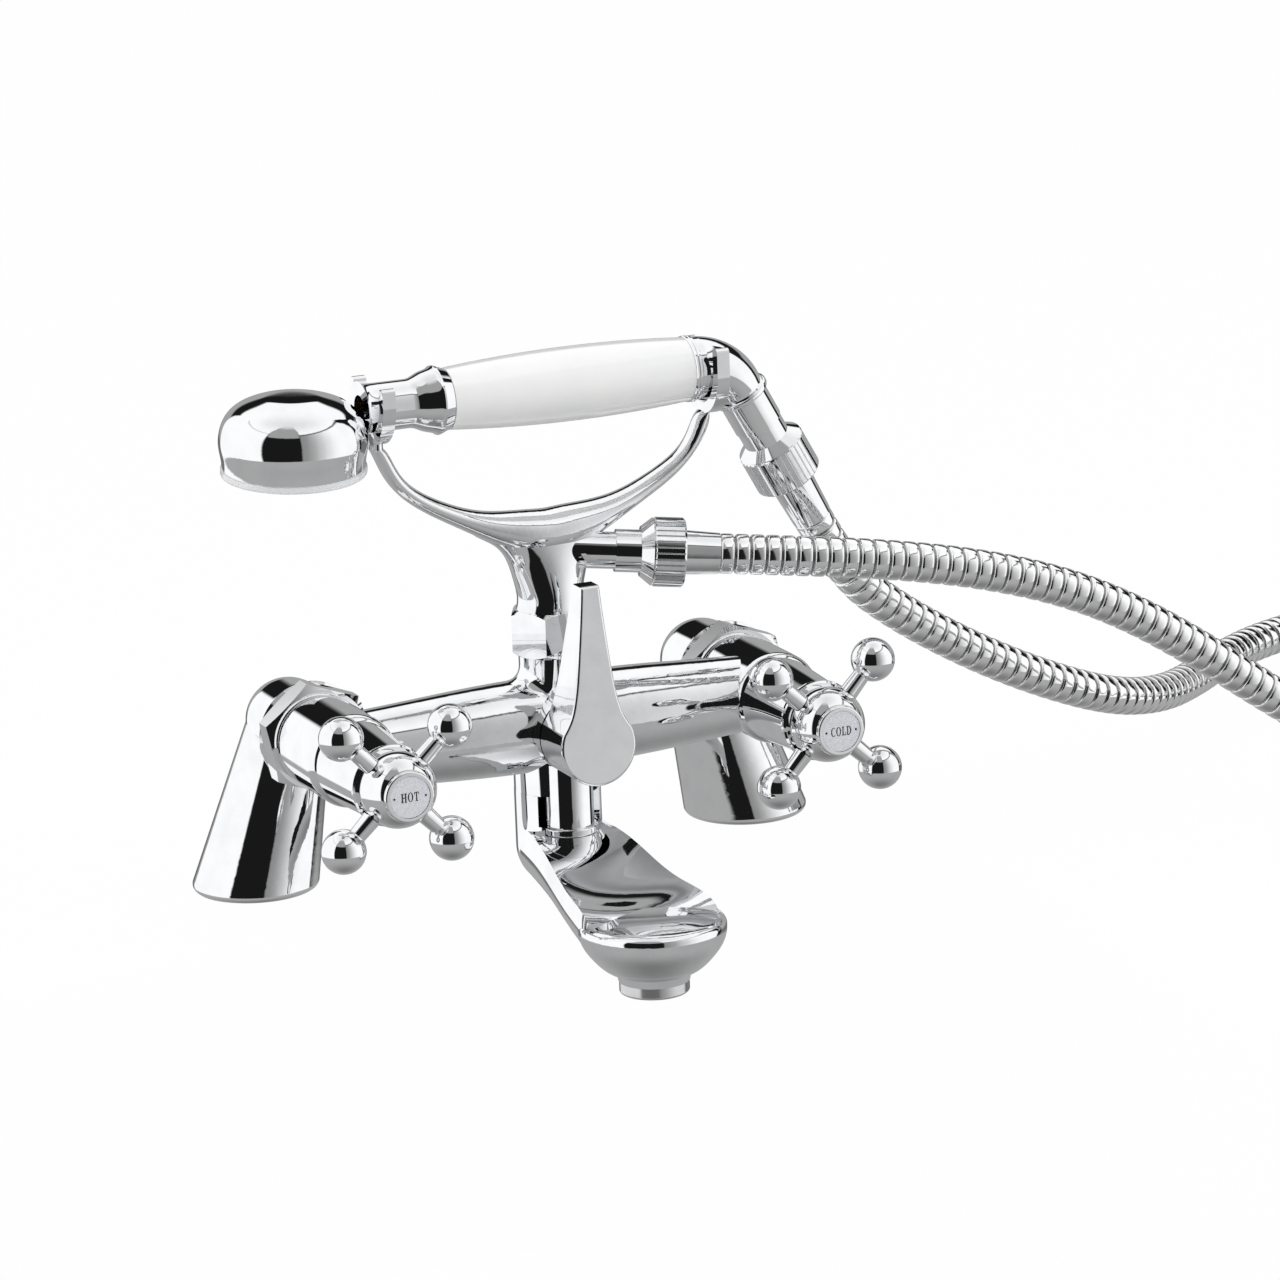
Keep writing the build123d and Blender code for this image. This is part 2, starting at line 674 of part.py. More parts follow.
def spout_section(reach_share, width_share, line_share, rim_share, belly_share, sag_share):
    half = mix(spout_neck_r, spout_nose_r, width_share) - running
    widest = mix(spout_heel_z, spout_nose_z, line_share)
    rim = mix(spout_rim_back, spout_rim_front, rim_share)
    belly = mix(spout_heel_z - spout_neck_r, spout_belly_front, belly_share) + running
    depth = widest - belly
    lower = [(half * width, widest - depth * drop) for width, drop in spout_belly_shares]
    belly_line = Spline(*[(-x, z) for x, z in lower], (0, belly), *reversed(lower),
                        tangents=[(0, -1), (0, 1)])
    rim_half = half - spout_rim_inset
    trough = ThreePointArc((rim_half, rim), (0, rim - spout_sag * sag_share), (-rim_half, rim))
    face = make_face(belly_line + Line((half, widest), (rim_half, rim)) + trough
                     + Line((-rim_half, rim), (-half, widest)))
    return forward(0, mix(hub_reach, spout_reach, reach_share), 0) * face


def make_spout():
    arm = loft([spout_section(*shares) for shares in spout_shares])
    neck = rod(upright(hub_reach), spout_neck_r, spout_heel_z, hub_foot_bottom)
    heel = Pos(0, -hub_reach, spout_heel_z) * Sphere(spout_neck_r)
    heel -= rod(upright(hub_reach), spout_neck_r + overrun, spout_heel_z,
                spout_heel_z + spout_neck_r + overrun)
    depth = spout_nose_z - spout_belly_front
    lower = [(spout_nose_r * width, spout_nose_z - depth * drop)
             for width, drop in spout_belly_shares]
    crown_turn = (spout_nose_r * spout_crown_share,
                  mix(spout_crown, spout_nose_z, spout_crown_drop_share))
    nose = turned(
        upright(spout_reach),
        Spline(*lower, (0, spout_belly_front), tangents=[(0, -1), (-1, 0)]),
        Line((0, spout_belly_front), (0, spout_crown)),
        Spline((0, spout_crown), crown_turn, (spout_nose_r, spout_nose_z),
               tangents=[(1, 0), (0, -1)]))
    cup = cone(upright(spout_reach), aerator_r + spout_rim_inset, aerator_r + slip,
               aerator_top + aerator_cup_rise, aerator_top)
    spout = arm + neck + heel + nose + cup
    spout += rod(upright(spigot_reach), spigot_ring_r + slip, spout_heel_z, spigot_seat)
    spout -= rod(upright(spout_scoop_reach), spout_scoop_r, spigot_seat + spigot_ring_t,
                 hub_foot_bottom + overrun)
    spout -= rod(upright(spigot_reach), spigot_ring_r + slip, spigot_seat,
                 spigot_seat + spigot_ring_t + slip)
    spout -= rod(upright(spigot_reach), spigot_r + seat_gap, spigot_seat,
                 hub_foot_bottom + overrun)
    spout -= rod(upright(spigot_reach), spigot_tail_r + slip, spout_bore_back_z,
                 spigot_seat + overrun)
    run = (0, spigot_reach - spout_reach, spout_bore_front_z - spout_bore_back_z)
    bore = Plane(origin=(0, -spigot_reach, spout_bore_back_z), z_dir=run)
    spout -= rod(bore, spout_bore_r, 0, sqrt(run[1] ** 2 + run[2] ** 2))
    thread_top = aerator_top + aerator_thread_t + aerator_washer_t
    spout -= rod(upright(spout_reach), aerator_thread_r + slip / 2, aerator_top - overrun,
                 thread_top)
    spout -= rod(upright(spout_reach), spout_bore_r, aerator_top, spout_bore_front_z)
    spout -= rod(upright(hub_reach - dowel_inset), dowel_r + running,
                 hub_foot_bottom - dowel_half, hub_foot_bottom + overrun)
    return spout


def make_spigot():
    axis = upright(spigot_reach)
    spigot = rod(axis, spigot_r, spigot_seat + spigot_ring_t, spigot_top)
    flange = rod(axis, spigot_ring_r, spigot_seat, spigot_seat + spigot_ring_t)
    spigot += fillet(flange.edges(), spigot_ring_t / 4)
    spigot += rod(axis, spigot_tail_r, spigot_tail_end, spigot_seat + overrun)
    spigot -= rod(axis, spigot_bore_r, spigot_tail_end - overrun, spigot_top + overrun)
    return spigot


def make_aerator():
    axis = upright(spout_reach)
    thread_top = aerator_top + aerator_thread_t
    cap = rod(axis, aerator_r, aerator_bottom, aerator_top)
    cap = fillet(cap.edges().group_by(Axis.Z)[0], aerator_edge_r)
    cap += rod(axis, aerator_thread_r, aerator_top, thread_top)
    shelf = aerator_bottom + aerator_edge_r
    cap -= rod(axis, aerator_bore_r + slip / 2, shelf, thread_top + overrun)
    cap -= rod(axis, aerator_bore_r - aerator_edge_r, aerator_bottom - overrun, shelf + overrun)
    mesh = rod(axis, aerator_bore_r, shelf, shelf + aerator_mesh_t)
    for circle_r, count in aerator_hole_rings:
        for step in range(count):
            turn = 2 * pi * step / count
            hole = Plane(origin=(circle_r * cos(turn), circle_r * sin(turn) - spout_reach, 0))
            mesh -= rod(hole, aerator_hole_r, shelf - overrun, shelf + aerator_mesh_t + overrun)
    washer = ring(axis, aerator_thread_r, aerator_washer_inner_r, thread_top,
                  thread_top + aerator_washer_t)
    return cap, mesh, washer


def make_dowel():
    return rod(upright(hub_reach - dowel_inset), dowel_r, hub_foot_bottom - dowel_half + slip,
               hub_foot_bottom + dowel_half - slip)


# Collar and cradle

def outlet_frame():
    swing = radians(outlet_swing)
    dip = radians(outlet_dip)
    return Plane(origin=(0, -hub_reach, outlet_height), x_dir=(sin(swing), cos(swing), 0),
                 z_dir=(cos(dip) * cos(swing), -cos(dip) * sin(swing), -sin(dip)))


def make_collar():
    axis = upright(hub_reach)
    nut = bevelled_hexagon(axis, collar_af, collar_bottom, collar_top, collar_edge)
    nut -= rod(axis, hub_thread_r + slip, collar_bottom - overrun, collar_top - collar_lip_t)
    nut -= rod(axis, collar_lip_bore_r, collar_bottom, collar_top + overrun)
    return nut


def o_ring_height():
    return hub_thread_top - stem_spigot_length / 2


def make_o_ring():
    return Pos(0, -hub_reach, o_ring_height()) * Torus(stem_socket_r - o_ring_r - running, o_ring_r)


def fork_bottoms():
    """Inner low point of each fork, just under the handset."""
    hot = handset_height - neck_r - seat_gap
    cold = handset_height - elbow_start_r - seat_gap - cold_fork_drop
    return {"hot": hot, "cold": cold}


def make_fork(side, bottom):
    outer_r = fork_inner_r + fork_wall
    centre_z = bottom + fork_inner_r
    height = fork_top - centre_z
    plate = sideways(side * cradle_half - fork_t / 2, hub_reach, centre_z)
    bowl = Circle(outer_r) - Pos(0, outer_r) * Rectangle(outer_r * 2, outer_r * 2)
    shape = bowl + Pos(0, height / 2) * Rectangle(outer_r * 2, height) - Circle(fork_inner_r)
    shape -= Pos(0, height / 2) * Rectangle(fork_inner_r * 2, height + overrun)
    prongs = extrude(plate * shape, fork_t)
    tips = [edge for edge in prongs.edges().filter_by(Axis.X)
            if edge.center().Z > fork_top - running]
    return fillet(tips, fork_top_r)


def arm_section(side, x, z, slope, half, depth):
    """Oval across one arm, at a slope away from the stem."""
    turn = radians(slope)
    frame = Plane(origin=(side * x, -hub_reach, z), x_dir=(side * sin(turn), 0, -cos(turn)),
                  z_dir=(cos(turn), 0, side * sin(turn)))
    return frame * Ellipse(half, depth)


def make_yoke(joint):
    """Oval stem that flares into one pair of oval arms."""
    stations = [(cradle_half * reach, mix(yoke_height, joint, rise), slope, yoke_half * half,
                 yoke_depth * depth)
                for (reach, rise, half, depth), slope in zip(arm_shares, arm_slopes)]
    stations.append((cradle_half, joint, degrees(pi / 2), fork_t / 2,
                     yoke_depth * arm_end_share))
    middle = arm_section(1, 0, yoke_height, 0, yoke_half, yoke_depth)
    arms = loft([arm_section(-1, *station) for station in reversed(stations)] + [middle]
                + [arm_section(1, *station) for station in stations])
    shoulder_half = cradle_half * stem_shoulder_share
    stem = loft([upright(hub_reach).offset(mix(collar_top, stem_shoulder, height))
                 * Ellipse(mix(stem_half_x, shoulder_half, width), stem_half_y * depth)
                 for height, width, depth in stem_shares])
    return arms + stem


def make_cradle():
    axis = upright(hub_reach)
    bottoms = fork_bottoms()
    joint = bottoms["cold"] - fork_wall / 2
    cradle = make_yoke(joint)
    for name, side in sides.items():
        start = side * cradle_half - fork_t / 2
        if side < 0:
            end = arm_section(side, cradle_half, joint, degrees(pi / 2), fork_t / 2,
                              yoke_depth * arm_end_share)
            cradle += extrude(end, bottoms[name] - fork_wall / 2 - joint, dir=(0, 0, 1))
        cradle += make_fork(side, bottoms[name])
        hollow = sideways(start - overrun, hub_reach, bottoms[name] + fork_inner_r)
        cradle -= rod(hollow, fork_inner_r, 0, fork_t + 2 * overrun)
    outlet = outlet_frame()
    cradle += rod(outlet, outlet_root_r, 0, outlet_seam)
    cradle += rod(axis, stem_neck_r, hub_thread_top, collar_top + overrun)
    cradle += rod(axis, stem_flange_r, hub_thread_top, hub_thread_top + stem_flange_t)
    spigot_bottom = hub_thread_top - stem_spigot_length
    cradle += rod(axis, stem_spigot_r, spigot_bottom, hub_thread_top)
    groove = o_ring_height()
    cradle -= ring(axis, stem_spigot_r + overrun, stem_socket_r - o_ring_r * 2 - slip,
                   groove - o_ring_groove / 2, groove + o_ring_groove / 2)
    cradle -= rod(axis, stem_bore_r, spigot_bottom - overrun, outlet_height)
    cradle -= rod(outlet, stem_bore_r, 0, outlet_seam + overrun)
    cradle -= rod(outlet, outlet_tail_r + slip / 2, outlet_tail_start - slip,
                  outlet_seam + overrun)
    return cradle


# Hose ends

def flange_face(nut_start, nut_length):
    """Back of the ferrule flange, which the nut's lip pulls down on the washer."""
    return nut_start + nut_length - nut_lip_t - slip - ferrule_flange_t


def thread_end(nut_start, nut_length):
    return flange_face(nut_start, nut_length) - hose_washer_t


def make_outlet_nipple():
    frame = outlet_frame()
    end = thread_end(outlet_flare_end + slip, outlet_nut_length)
    nipple = rod(frame, outlet_tail_r, outlet_tail_start, outlet_seam)
    nipple += rod(frame, outlet_neck_r, outlet_seam, outlet_flare_start)
    nipple += cone(frame, outlet_flare_start_r, nut_r - slip, outlet_flare_start,
                   outlet_flare_end)
    nipple += rod(frame, nipple_r, outlet_flare_end, end)
    nipple -= rod(frame, outlet_bore_r, outlet_tail_start - overrun, end + overrun)
    return nipple


def make_hose_end(frame, nut_start, nut_length, end):
    nut_end = nut_start + nut_length
    knurls = [Pos(nut_r * cos(2 * pi * step / knurl_count), nut_r * sin(2 * pi * step / knurl_count))
              * Circle(knurl_r) for step in range(knurl_count)]
    blank = extrude(frame.offset(nut_start) * (Circle(nut_r) - knurls), nut_length)
    nut = blank & barrel(frame, nut_r - nut_edge, nut_r, nut_start, nut_end, nut_edge)
    nut -= rod(frame, nut_bore_r, nut_start - overrun, nut_end - nut_lip_t)
    nut -= rod(frame, ferrule_r + slip, nut_start, nut_end + overrun)
    face = flange_face(nut_start, nut_length)
    flange_end = face + ferrule_flange_t
    ferrule = rod(frame, ferrule_flange_r, face, flange_end)
    ferrule += rod(frame, ferrule_r, flange_end, nut_end + slip)
    ferrule += cone(frame, ferrule_r, ferrule_tip_r, nut_end + slip, end)
    ferrule -= rod(frame, hose_bore_r, face - overrun, end + overrun)
    washer = ring(frame, ferrule_flange_r, hose_washer_inner_r, face - hose_washer_t, face)
    return nut, ferrule, washer


# Handset

roll = radians(handset_roll)
handset_back = Vector(0, cos(roll), sin(roll))
handset_up = Vector(0, -sin(roll), cos(roll))


def handset_frame(x=0):
    """Frame on the handset axis: local Z along +X, local X backwards, local Y up."""
    return Plane(origin=(x, -hub_reach, handset_height), x_dir=handset_back, z_dir=(1, 0, 0))


def head_frame():
    return Plane(origin=(-head_reach, -hub_reach, handset_height), x_dir=(1, 0, 0),
                 z_dir=handset_up)


def tail_frame():
    turn = radians(elbow_turn)
    direction = Vector(1, 0, 0) * cos(turn) - handset_up * sin(turn)
    return Plane(origin=(elbow_vertex, -hub_reach, handset_height), x_dir=handset_back,
                 z_dir=direction)


def make_grip():
    return turned(
        handset_frame(),
        ThreePointArc((grip_start_r, grip_start), (grip_middle_r, grip_middle),
                      (grip_end_r, grip_end)),
        Polyline((grip_end_r, grip_end), (grip_bore_r, grip_end), (grip_bore_r, grip_start),
                 (grip_start_r, grip_start)))


def make_head():
    frame = head_frame()
    start = grip_start - slip
    halfway = mix(flare_r, neck_r, 1 / 2)
    neck = turned(
        handset_frame(),
        Polyline((0, start), (flare_start_r, start), (flare_r, flare_peak + overrun / 2),
                 (flare_r, flare_peak)),
        Spline((flare_r, flare_peak), (halfway, flare_waist), (neck_r, neck_front),
               tangents=[(-1, -1), (0, -1)]),
        Line((neck_r, neck_front), (neck_r, neck_back)),
        Spline((neck_r, neck_back), (neck_root_r, neck_root), tangents=[(0, -1), (1, -1)]),
        Polyline((neck_root_r, neck_root), (0, neck_root), (0, start)))
    dome = [(head_r * width, mix(head_bottom, head_top, height))
            for width, height in head_dome_shares]
    shell = turned(
        frame,
        Spline((head_foot_r, head_bottom), *dome, tangents=[(0, 1), (-1, 0)]),
        Polyline(dome[-1], (0, head_bottom), (head_foot_r, head_bottom)))
    head = shell + neck
    inner_r = head_r - head_wall
    ledge = head_bottom + plate_spigot_t + gasket_t
    head -= rod(frame, inner_r, head_bottom - overrun, ledge)
    head -= rod(frame, inner_r - head_ledge, ledge - overrun, head_shoulder - head_wall)
    head -= cone(frame, inner_r - head_ledge, inner_r / 2, head_shoulder - head_wall,
                 head_top - head_wall * 2)
    head -= rod(handset_frame(), tube_r + slip / 2, tube_start, start + overrun)
    head -= rod(handset_frame(), tube_bore_r, -head_reach, start)
    return head


def make_spray_plate():
    frame = head_frame()
    plate = rod(frame, plate_r, head_bottom - plate_t, head_bottom)
    plate = fillet(plate.edges().group_by(Axis.Z)[0], plate_t / 3)
    plate += rod(frame, head_r - head_wall - slip, head_bottom, head_bottom + plate_spigot_t)
    top = head_bottom + plate_spigot_t + overrun
    for circle_r, count in nozzle_rings:
        for step in range(count):
            turn = 2 * pi * step / count
            nozzle = Plane(frame.location * Pos(circle_r * cos(turn), circle_r * sin(turn)))
            plate -= rod(nozzle, nozzle_r, head_bottom - plate_t - overrun, top)
    start = head_bottom + plate_spigot_t
    gasket = ring(frame, head_r - head_wall - slip, head_r - head_wall - head_ledge + running,
                  start, start + gasket_t)
    return plate, gasket


def make_inner_tube():
    return ring(handset_frame(), tube_r, tube_bore_r, tube_start, tube_end)


def make_grip_collar():
    start = grip_end + slip / 2
    half = (elbow_start - slip / 2 - start) / 2
    groove = half / 4
    return turned(handset_frame(), Polyline(
        (grip_bore_r, start), (collar_ring_root_r, start), (collar_ring_r, start + groove),
        (collar_ring_r, start + half - groove), (collar_ring_root_r, start + half),
        (collar_ring_r, start + half + groove), (collar_ring_r, start + half * 2 - groove),
        (collar_ring_root_r, start + half * 2), (grip_bore_r, start + half * 2),
        (grip_bore_r, start)))


def bend_frame(share):
    """Frame on the elbow's centreline, at a share of its turn."""
    tangent_length = elbow_bend_r * tan(radians(elbow_turn / 2))
    turn = radians(elbow_turn * share)
    along = Vector(1, 0, 0)
    centre = (Vector(elbow_vertex - tangent_length, -hub_reach, handset_height)
              + along * (elbow_bend_r * sin(turn)) - handset_up * (elbow_bend_r * (1 - cos(turn))))
    return Plane(origin=centre, x_dir=handset_back,
                 z_dir=along * cos(turn) - handset_up * sin(turn))


def make_elbow():
    tangent_length = elbow_bend_r * tan(radians(elbow_turn / 2))
    shares = [step / elbow_steps for step in range(elbow_steps + 1)]
    bend = loft([bend_frame(share) * Circle(mix(elbow_start_r, elbow_end_r, share))
                 for share in shares])
    bend_bore = loft([bend_frame(share) * Circle(elbow_bore_r) for share in shares])
    tail = tail_frame()
    bend_start = elbow_vertex - tangent_length
    elbow = bend + rod(handset_frame(), elbow_start_r, elbow_start, bend_start)
    elbow += rod(tail, elbow_end_r, tangent_length, tail_seam)
    bead = rod(tail, bead_r, bead_centre - bead_t / 2, bead_centre + bead_t / 2)
    elbow += fillet(bead.edges(), bead_t / 3)
    elbow -= bend_bore
    elbow -= rod(handset_frame(), elbow_bore_r, elbow_start - overrun, bend_start)
    elbow -= rod(handset_frame(), tube_r + slip / 2, elbow_start - overrun, tube_end + slip)
    elbow -= rod(tail, elbow_bore_r, tangent_length, tail_seam + overrun)
    elbow -= rod(tail, tail_socket_r, tail_seam - tail_socket_depth, tail_seam + overrun)
    return elbow


def make_tail_nipple():
    tail = tail_frame()
    end = thread_end(tail_nut_start, tail_nut_length)
    nipple = rod(tail, tail_socket_r - slip / 2, tail_seam - tail_socket_depth + slip, tail_seam)
    nipple += rod(tail, tail_r, tail_seam, tail_nut_start)
    nipple += cone(tail, tail_r, nut_r - slip, tail_nut_start - slip - tail_flare_t,
                   tail_nut_start - slip)
    nipple += rod(tail, nipple_r, tail_nut_start - slip, end)
    nipple -= rod(tail, tail_bore_r, tail_seam - tail_socket_depth, end + overrun)
    return nipple


# Hose

def corner_radii(points):
    """Largest arc that the two runs at each corner of a route allow."""
    vectors = [Vector(*point) for point in points]
    radii = []
    for before, corner, after in zip(vectors, vectors[1:], vectors[2:]):
        turn = radians((corner - before).get_angle(after - corner))
        shorter = min((corner - before).length, (after - corner).length)
        radii.append(corner_share * shorter / tan(turn / 2))
    return radii


def make_hose(points):
    """Ribbed tube with its bore along straight runs joined by tangent arcs."""
    radii = corner_radii(points)
    route = FilletPolyline(*points, radius=radii)
    length = route.length
    count = round(length / rib_pitch)
    pitch = length / count
    places = []
    for rib in range(count):
        for share, radius in zip(rib_shares, (hose_root_r, hose_r, hose_r, hose_root_r)):
            places.append((pitch * (rib + share), radius))
    places.append((length, hose_root_r))
    sections = []
    bore_ends = []
    for distance, radius in places:
        centre = route.position_at(distance, position_mode=PositionMode.LENGTH)
        tangent = route.tangent_at(distance, position_mode=PositionMode.LENGTH)
        section = Plane(origin=centre, x_dir=Vector(0, 1, 0).cross(tangent), z_dir=tangent)
        sections.append(section * Circle(radius))
        bore_ends.append(section)
    bore = sweep(bore_ends[0] * Circle(hose_bore_r), path=route)
    hose = loft(sections, ruled=True) - bore
    print("hose", round(length, 1), "mm,", count, "ribs, arc radii",
          [round(radius, 1) for radius in radii])
    return hose


def coil_point(quarter):
    """Centreline of the coil, spiralling in for its first half and out for its second."""
    turn = pi / 2 * quarter
    pitch = 2 * hose_r + coil_gap
    middle = coil_quarters / 2
    radius = coil_r - pitch / 4 * (middle - abs(quarter - middle))
    climb = min(max((quarter - middle + 1) / 2, 0), 1)
    height = coil_height + pitch * (1 - cos(pi * climb)) / 2
    angle = turn - pi / 2
    return Vector(coil_x + radius * cos(angle), coil_y + radius * sin(angle), height)


def coil_tangent(quarter):
    step = 1 / 1000
    if quarter in (0, coil_quarters):
        angle = pi / 2 * quarter - pi / 2
        return Vector(-sin(angle), cos(angle), 0)
    return (coil_point(quarter + step) - coil_point(quarter - step)).normalized()


def biarc(start, start_dir, end, end_dir):
    """Two arcs that leave the start and reach the end along the given directions."""
    chord = end - start
    total = start_dir + end_dir
    spread = 2 * (1 - start_dir.dot(end_dir))
    lean = chord.dot(total)
    length = (sqrt(lean ** 2 + spread * chord.dot(chord)) - lean) / spread
    middle = (start + end + (start_dir - end_dir) * length) * (1 / 2)
    first = TangentArc([start, middle], tangent=start_dir)
    return [first, TangentArc([middle, end], tangent=first % 1)]


def make_coil():
    points = [coil_point(quarter) for quarter in range(coil_quarters + 1)]
    tangents = [coil_tangent(quarter) for quarter in range(coil_quarters + 1)]
    lead_in = points[0] - tangents[0] * coil_lead
    lead_out = points[-1] + tangents[-1] * coil_lead
    edges = [Line(lead_in, points[0])]
    for quarter in range(coil_quarters):
        edges += biarc(points[quarter], tangents[quarter], points[quarter + 1],
                       tangents[quarter + 1])
    edges.append(Line(points[-1], lead_out))
    route = Wire(edges)
    coil = sweep(Plane(origin=lead_in, z_dir=tangents[0]) * (Circle(hose_r) - Circle(hose_bore_r)),
                 path=route)
    samples = [route.position_at(step / 600) for step in range(601)]
    apart = [(first - second).length for i, first in enumerate(samples)
             for second in samples[i + 60:]]
    print("coil", round(route.length, 1), "mm, least gap to itself",
          round(min(apart) - 2 * hose_r, 2), "mm")
    return coil, lead_in, lead_out


if __name__ == "__main__":
    os.makedirs("parts", exist_ok=True)
    for label, side in sides.items():
        save(f"{label}_leg", make_leg(side))
        washer, nut = make_union(side)
        save(f"{label}_union_nut", nut)
        save(f"{label}_union_washer", washer)
        cartridge, fixed_disc, spindle = make_valve(side)
        save(f"{label}_cartridge", cartridge)
        save(f"{label}_fixed_disc", fixed_disc)
        save(f"{label}_spindle", spindle)
        save(f"{label}_shroud", make_shroud(side))
        hub, arms, screw, cup, plate = make_handle(side, rest_turns[label])
        save(f"{label}_handle_hub", hub)
        save(f"{label}_handle_arms", *arms)
        save(f"{label}_handle_screw", screw)
        save(f"{label}_index_cup", cup)
        save(f"{label}_index_plate", plate)
    save("base_seals", *[make_base_seal(side) for side in sides.values()])
    save("mixer_body", make_body())
    shell, spool, gland = make_diverter()
    save("diverter_cartridge", shell)
    save("diverter_spool", spool)
    save("diverter_gland_nut", gland)
    lever, grub = make_lever()
    save("diverter_lever", lever)
    save("lever_grub_screw", grub)
    save("outlet_spigot", make_spigot())
    save("spout", make_spout())
    save("spout_dowel", make_dowel())
    cap, mesh, washer = make_aerator()
    save("aerator_housing", cap)
    save("aerator_mesh", mesh)
    save("aerator_washer", washer)
    save("collar_nut", make_collar())
    save("stem_o_ring", make_o_ring())
    save("cradle", make_cradle())
    save("outlet_nipple", make_outlet_nipple())
    outlet_nut_start = outlet_flare_end + slip
    nut, ferrule, washer = make_hose_end(outlet_frame(), outlet_nut_start, outlet_nut_length,
                                         outlet_end)
    save("outlet_hose_nut", nut)
    save("outlet_ferrule", ferrule)
    save("outlet_hose_washer", washer)
    save("handset_head", make_head())
    plate, gasket = make_spray_plate()
    save("spray_plate", plate)
    save("head_gasket", gasket)
    save("grip_sleeve", make_grip())
    save("inner_tube", make_inner_tube())
    save("grip_collar", make_grip_collar())
    save("handset_elbow", make_elbow())
    save("tail_nipple", make_tail_nipple())
    nut, ferrule, washer = make_hose_end(tail_frame(), tail_nut_start, tail_nut_length, tail_end)
    save("tail_hose_nut", nut)
    save("tail_ferrule", ferrule)
    save("tail_hose_washer", washer)
    coil, coil_in, coil_out = make_coil()
    save("hose_coil", coil)
    for name, frame, end, route, coil_end in (
            ("hose_stem_side", outlet_frame(), outlet_end, stem_side_route, coil_in),
            ("hose_handset_side", tail_frame(), tail_end, handset_side_route, coil_out)):
        start = frame.offset(end).origin
        corner = frame.offset(end + first_run).origin
        save(name, make_hose([start, corner, *route, coil_end]))
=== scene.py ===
import bpy
from math import cos, sin, pi, radians
from mathutils import Vector, Matrix


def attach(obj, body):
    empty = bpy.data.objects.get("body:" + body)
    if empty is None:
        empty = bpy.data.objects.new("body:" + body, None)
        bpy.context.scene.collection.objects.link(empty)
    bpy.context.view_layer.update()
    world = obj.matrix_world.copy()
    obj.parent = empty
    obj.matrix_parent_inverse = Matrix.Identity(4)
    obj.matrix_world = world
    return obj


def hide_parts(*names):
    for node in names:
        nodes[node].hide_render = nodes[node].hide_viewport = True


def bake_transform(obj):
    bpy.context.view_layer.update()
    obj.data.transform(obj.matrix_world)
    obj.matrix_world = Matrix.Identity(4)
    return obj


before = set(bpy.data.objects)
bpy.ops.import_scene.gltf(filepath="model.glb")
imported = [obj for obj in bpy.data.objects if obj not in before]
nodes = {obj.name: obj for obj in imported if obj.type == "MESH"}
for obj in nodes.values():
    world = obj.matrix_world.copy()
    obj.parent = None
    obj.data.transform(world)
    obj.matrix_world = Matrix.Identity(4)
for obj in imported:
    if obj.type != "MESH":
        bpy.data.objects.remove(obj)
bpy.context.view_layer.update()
scene = bpy.context.scene
mm = 0.001

# Camera: a long lens, left of the spout and a little above the deck
cameraSet = {
    "azimuth": -23.52, "elevation": 14.31, "roll": -2.06,
    "distance": 1.896, "aimRight": 0.048, "aimUp": 0.0682,
    "lens": 158.03, "sensor": 36,
}


def makeCamera(s):
    az, el, roll = (radians(s[k]) for k in ("azimuth", "elevation", "roll"))
    back = Vector((sin(az) * cos(el), -cos(az) * cos(el), sin(el)))
    right = Vector((cos(az), sin(az), 0))
    up = back.cross(right)
    tiltedRight = right * cos(roll) + up * sin(roll)
    tiltedUp = up * cos(roll) - right * sin(roll)
    data = bpy.data.cameras.new("camera")
    data.lens, data.sensor_width = s["lens"], s["sensor"]
    data.clip_start, data.clip_end = 0.1, 30
    camera = bpy.data.objects.new("camera", data)
    scene.collection.objects.link(camera)
    place = Matrix((tiltedRight, tiltedUp, back)).transposed().to_4x4()
    place.translation = right * s["aimRight"] + up * s["aimUp"] + back * s["distance"]
    camera.matrix_world = place
    scene.camera = camera


makeCamera(cameraSet)
print("camera placed")


# A mesh or curve object made here, linked and smooth
def addObject(name, data):
    obj = bpy.data.objects.new(name, data)
    scene.collection.objects.link(obj)
    if obj.type == "MESH":
        data.polygons.foreach_set("use_smooth", [True] * len(data.polygons))
    return obj


# Hose: two free runs of one ribbed metal hose, and the round coil that takes up its spare length
hose = {
    "fromMixer": [(52.90, -65.70, 108.52), (76.52, -73.60, 106.34), (106, -79.5, 102.6),
                  (137, -84, 96.6), (166, -87.3, 87.8), (191, -90, 76), (216, -92.8, 60),
                  (240, -95.5, 42.5), (264, -98.7, 26), (290, -102.5, 13.5), (319, -106.5, 7.9),
                  (355, -108, 6.7), (382.6, -108, 6.7)],
    "fromHandset": [(97.35, -43.12, 111.18), (109.85, -41.23, 89.61), (129, -42, 73.5),
                    (155, -43.5, 57.2), (183, -42, 43), (213, -36, 30.9), (241, -20, 24),
                    (266, 1, 21.4), (290, 22.5, 20.9), (318, 40.5, 20.8), (354, 52, 20.7),
                    (382.6, 51.7, 20.7)],
    "coilCentre": (396, -28), "coilRadius": 79.7, "coilClosing": 3.5, "layer": 14, "lieHeight": 6.7,
    "pointsPerQuarter": 3,
    "radius": 6.6, "root": 5.65, "pitch": 5.1,
    # along one rib: share of the pitch, share of the rib's height
    "rib": [(0, 0), (0.035, 0.4), (0.075, 0.74), (0.14, 0.92), (0.25, 0.98), (0.46, 1),
            (0.67, 0.98), (0.78, 0.92), (0.845, 0.74), (0.885, 0.4), (0.92, 0)],
    "sides": 30,
}


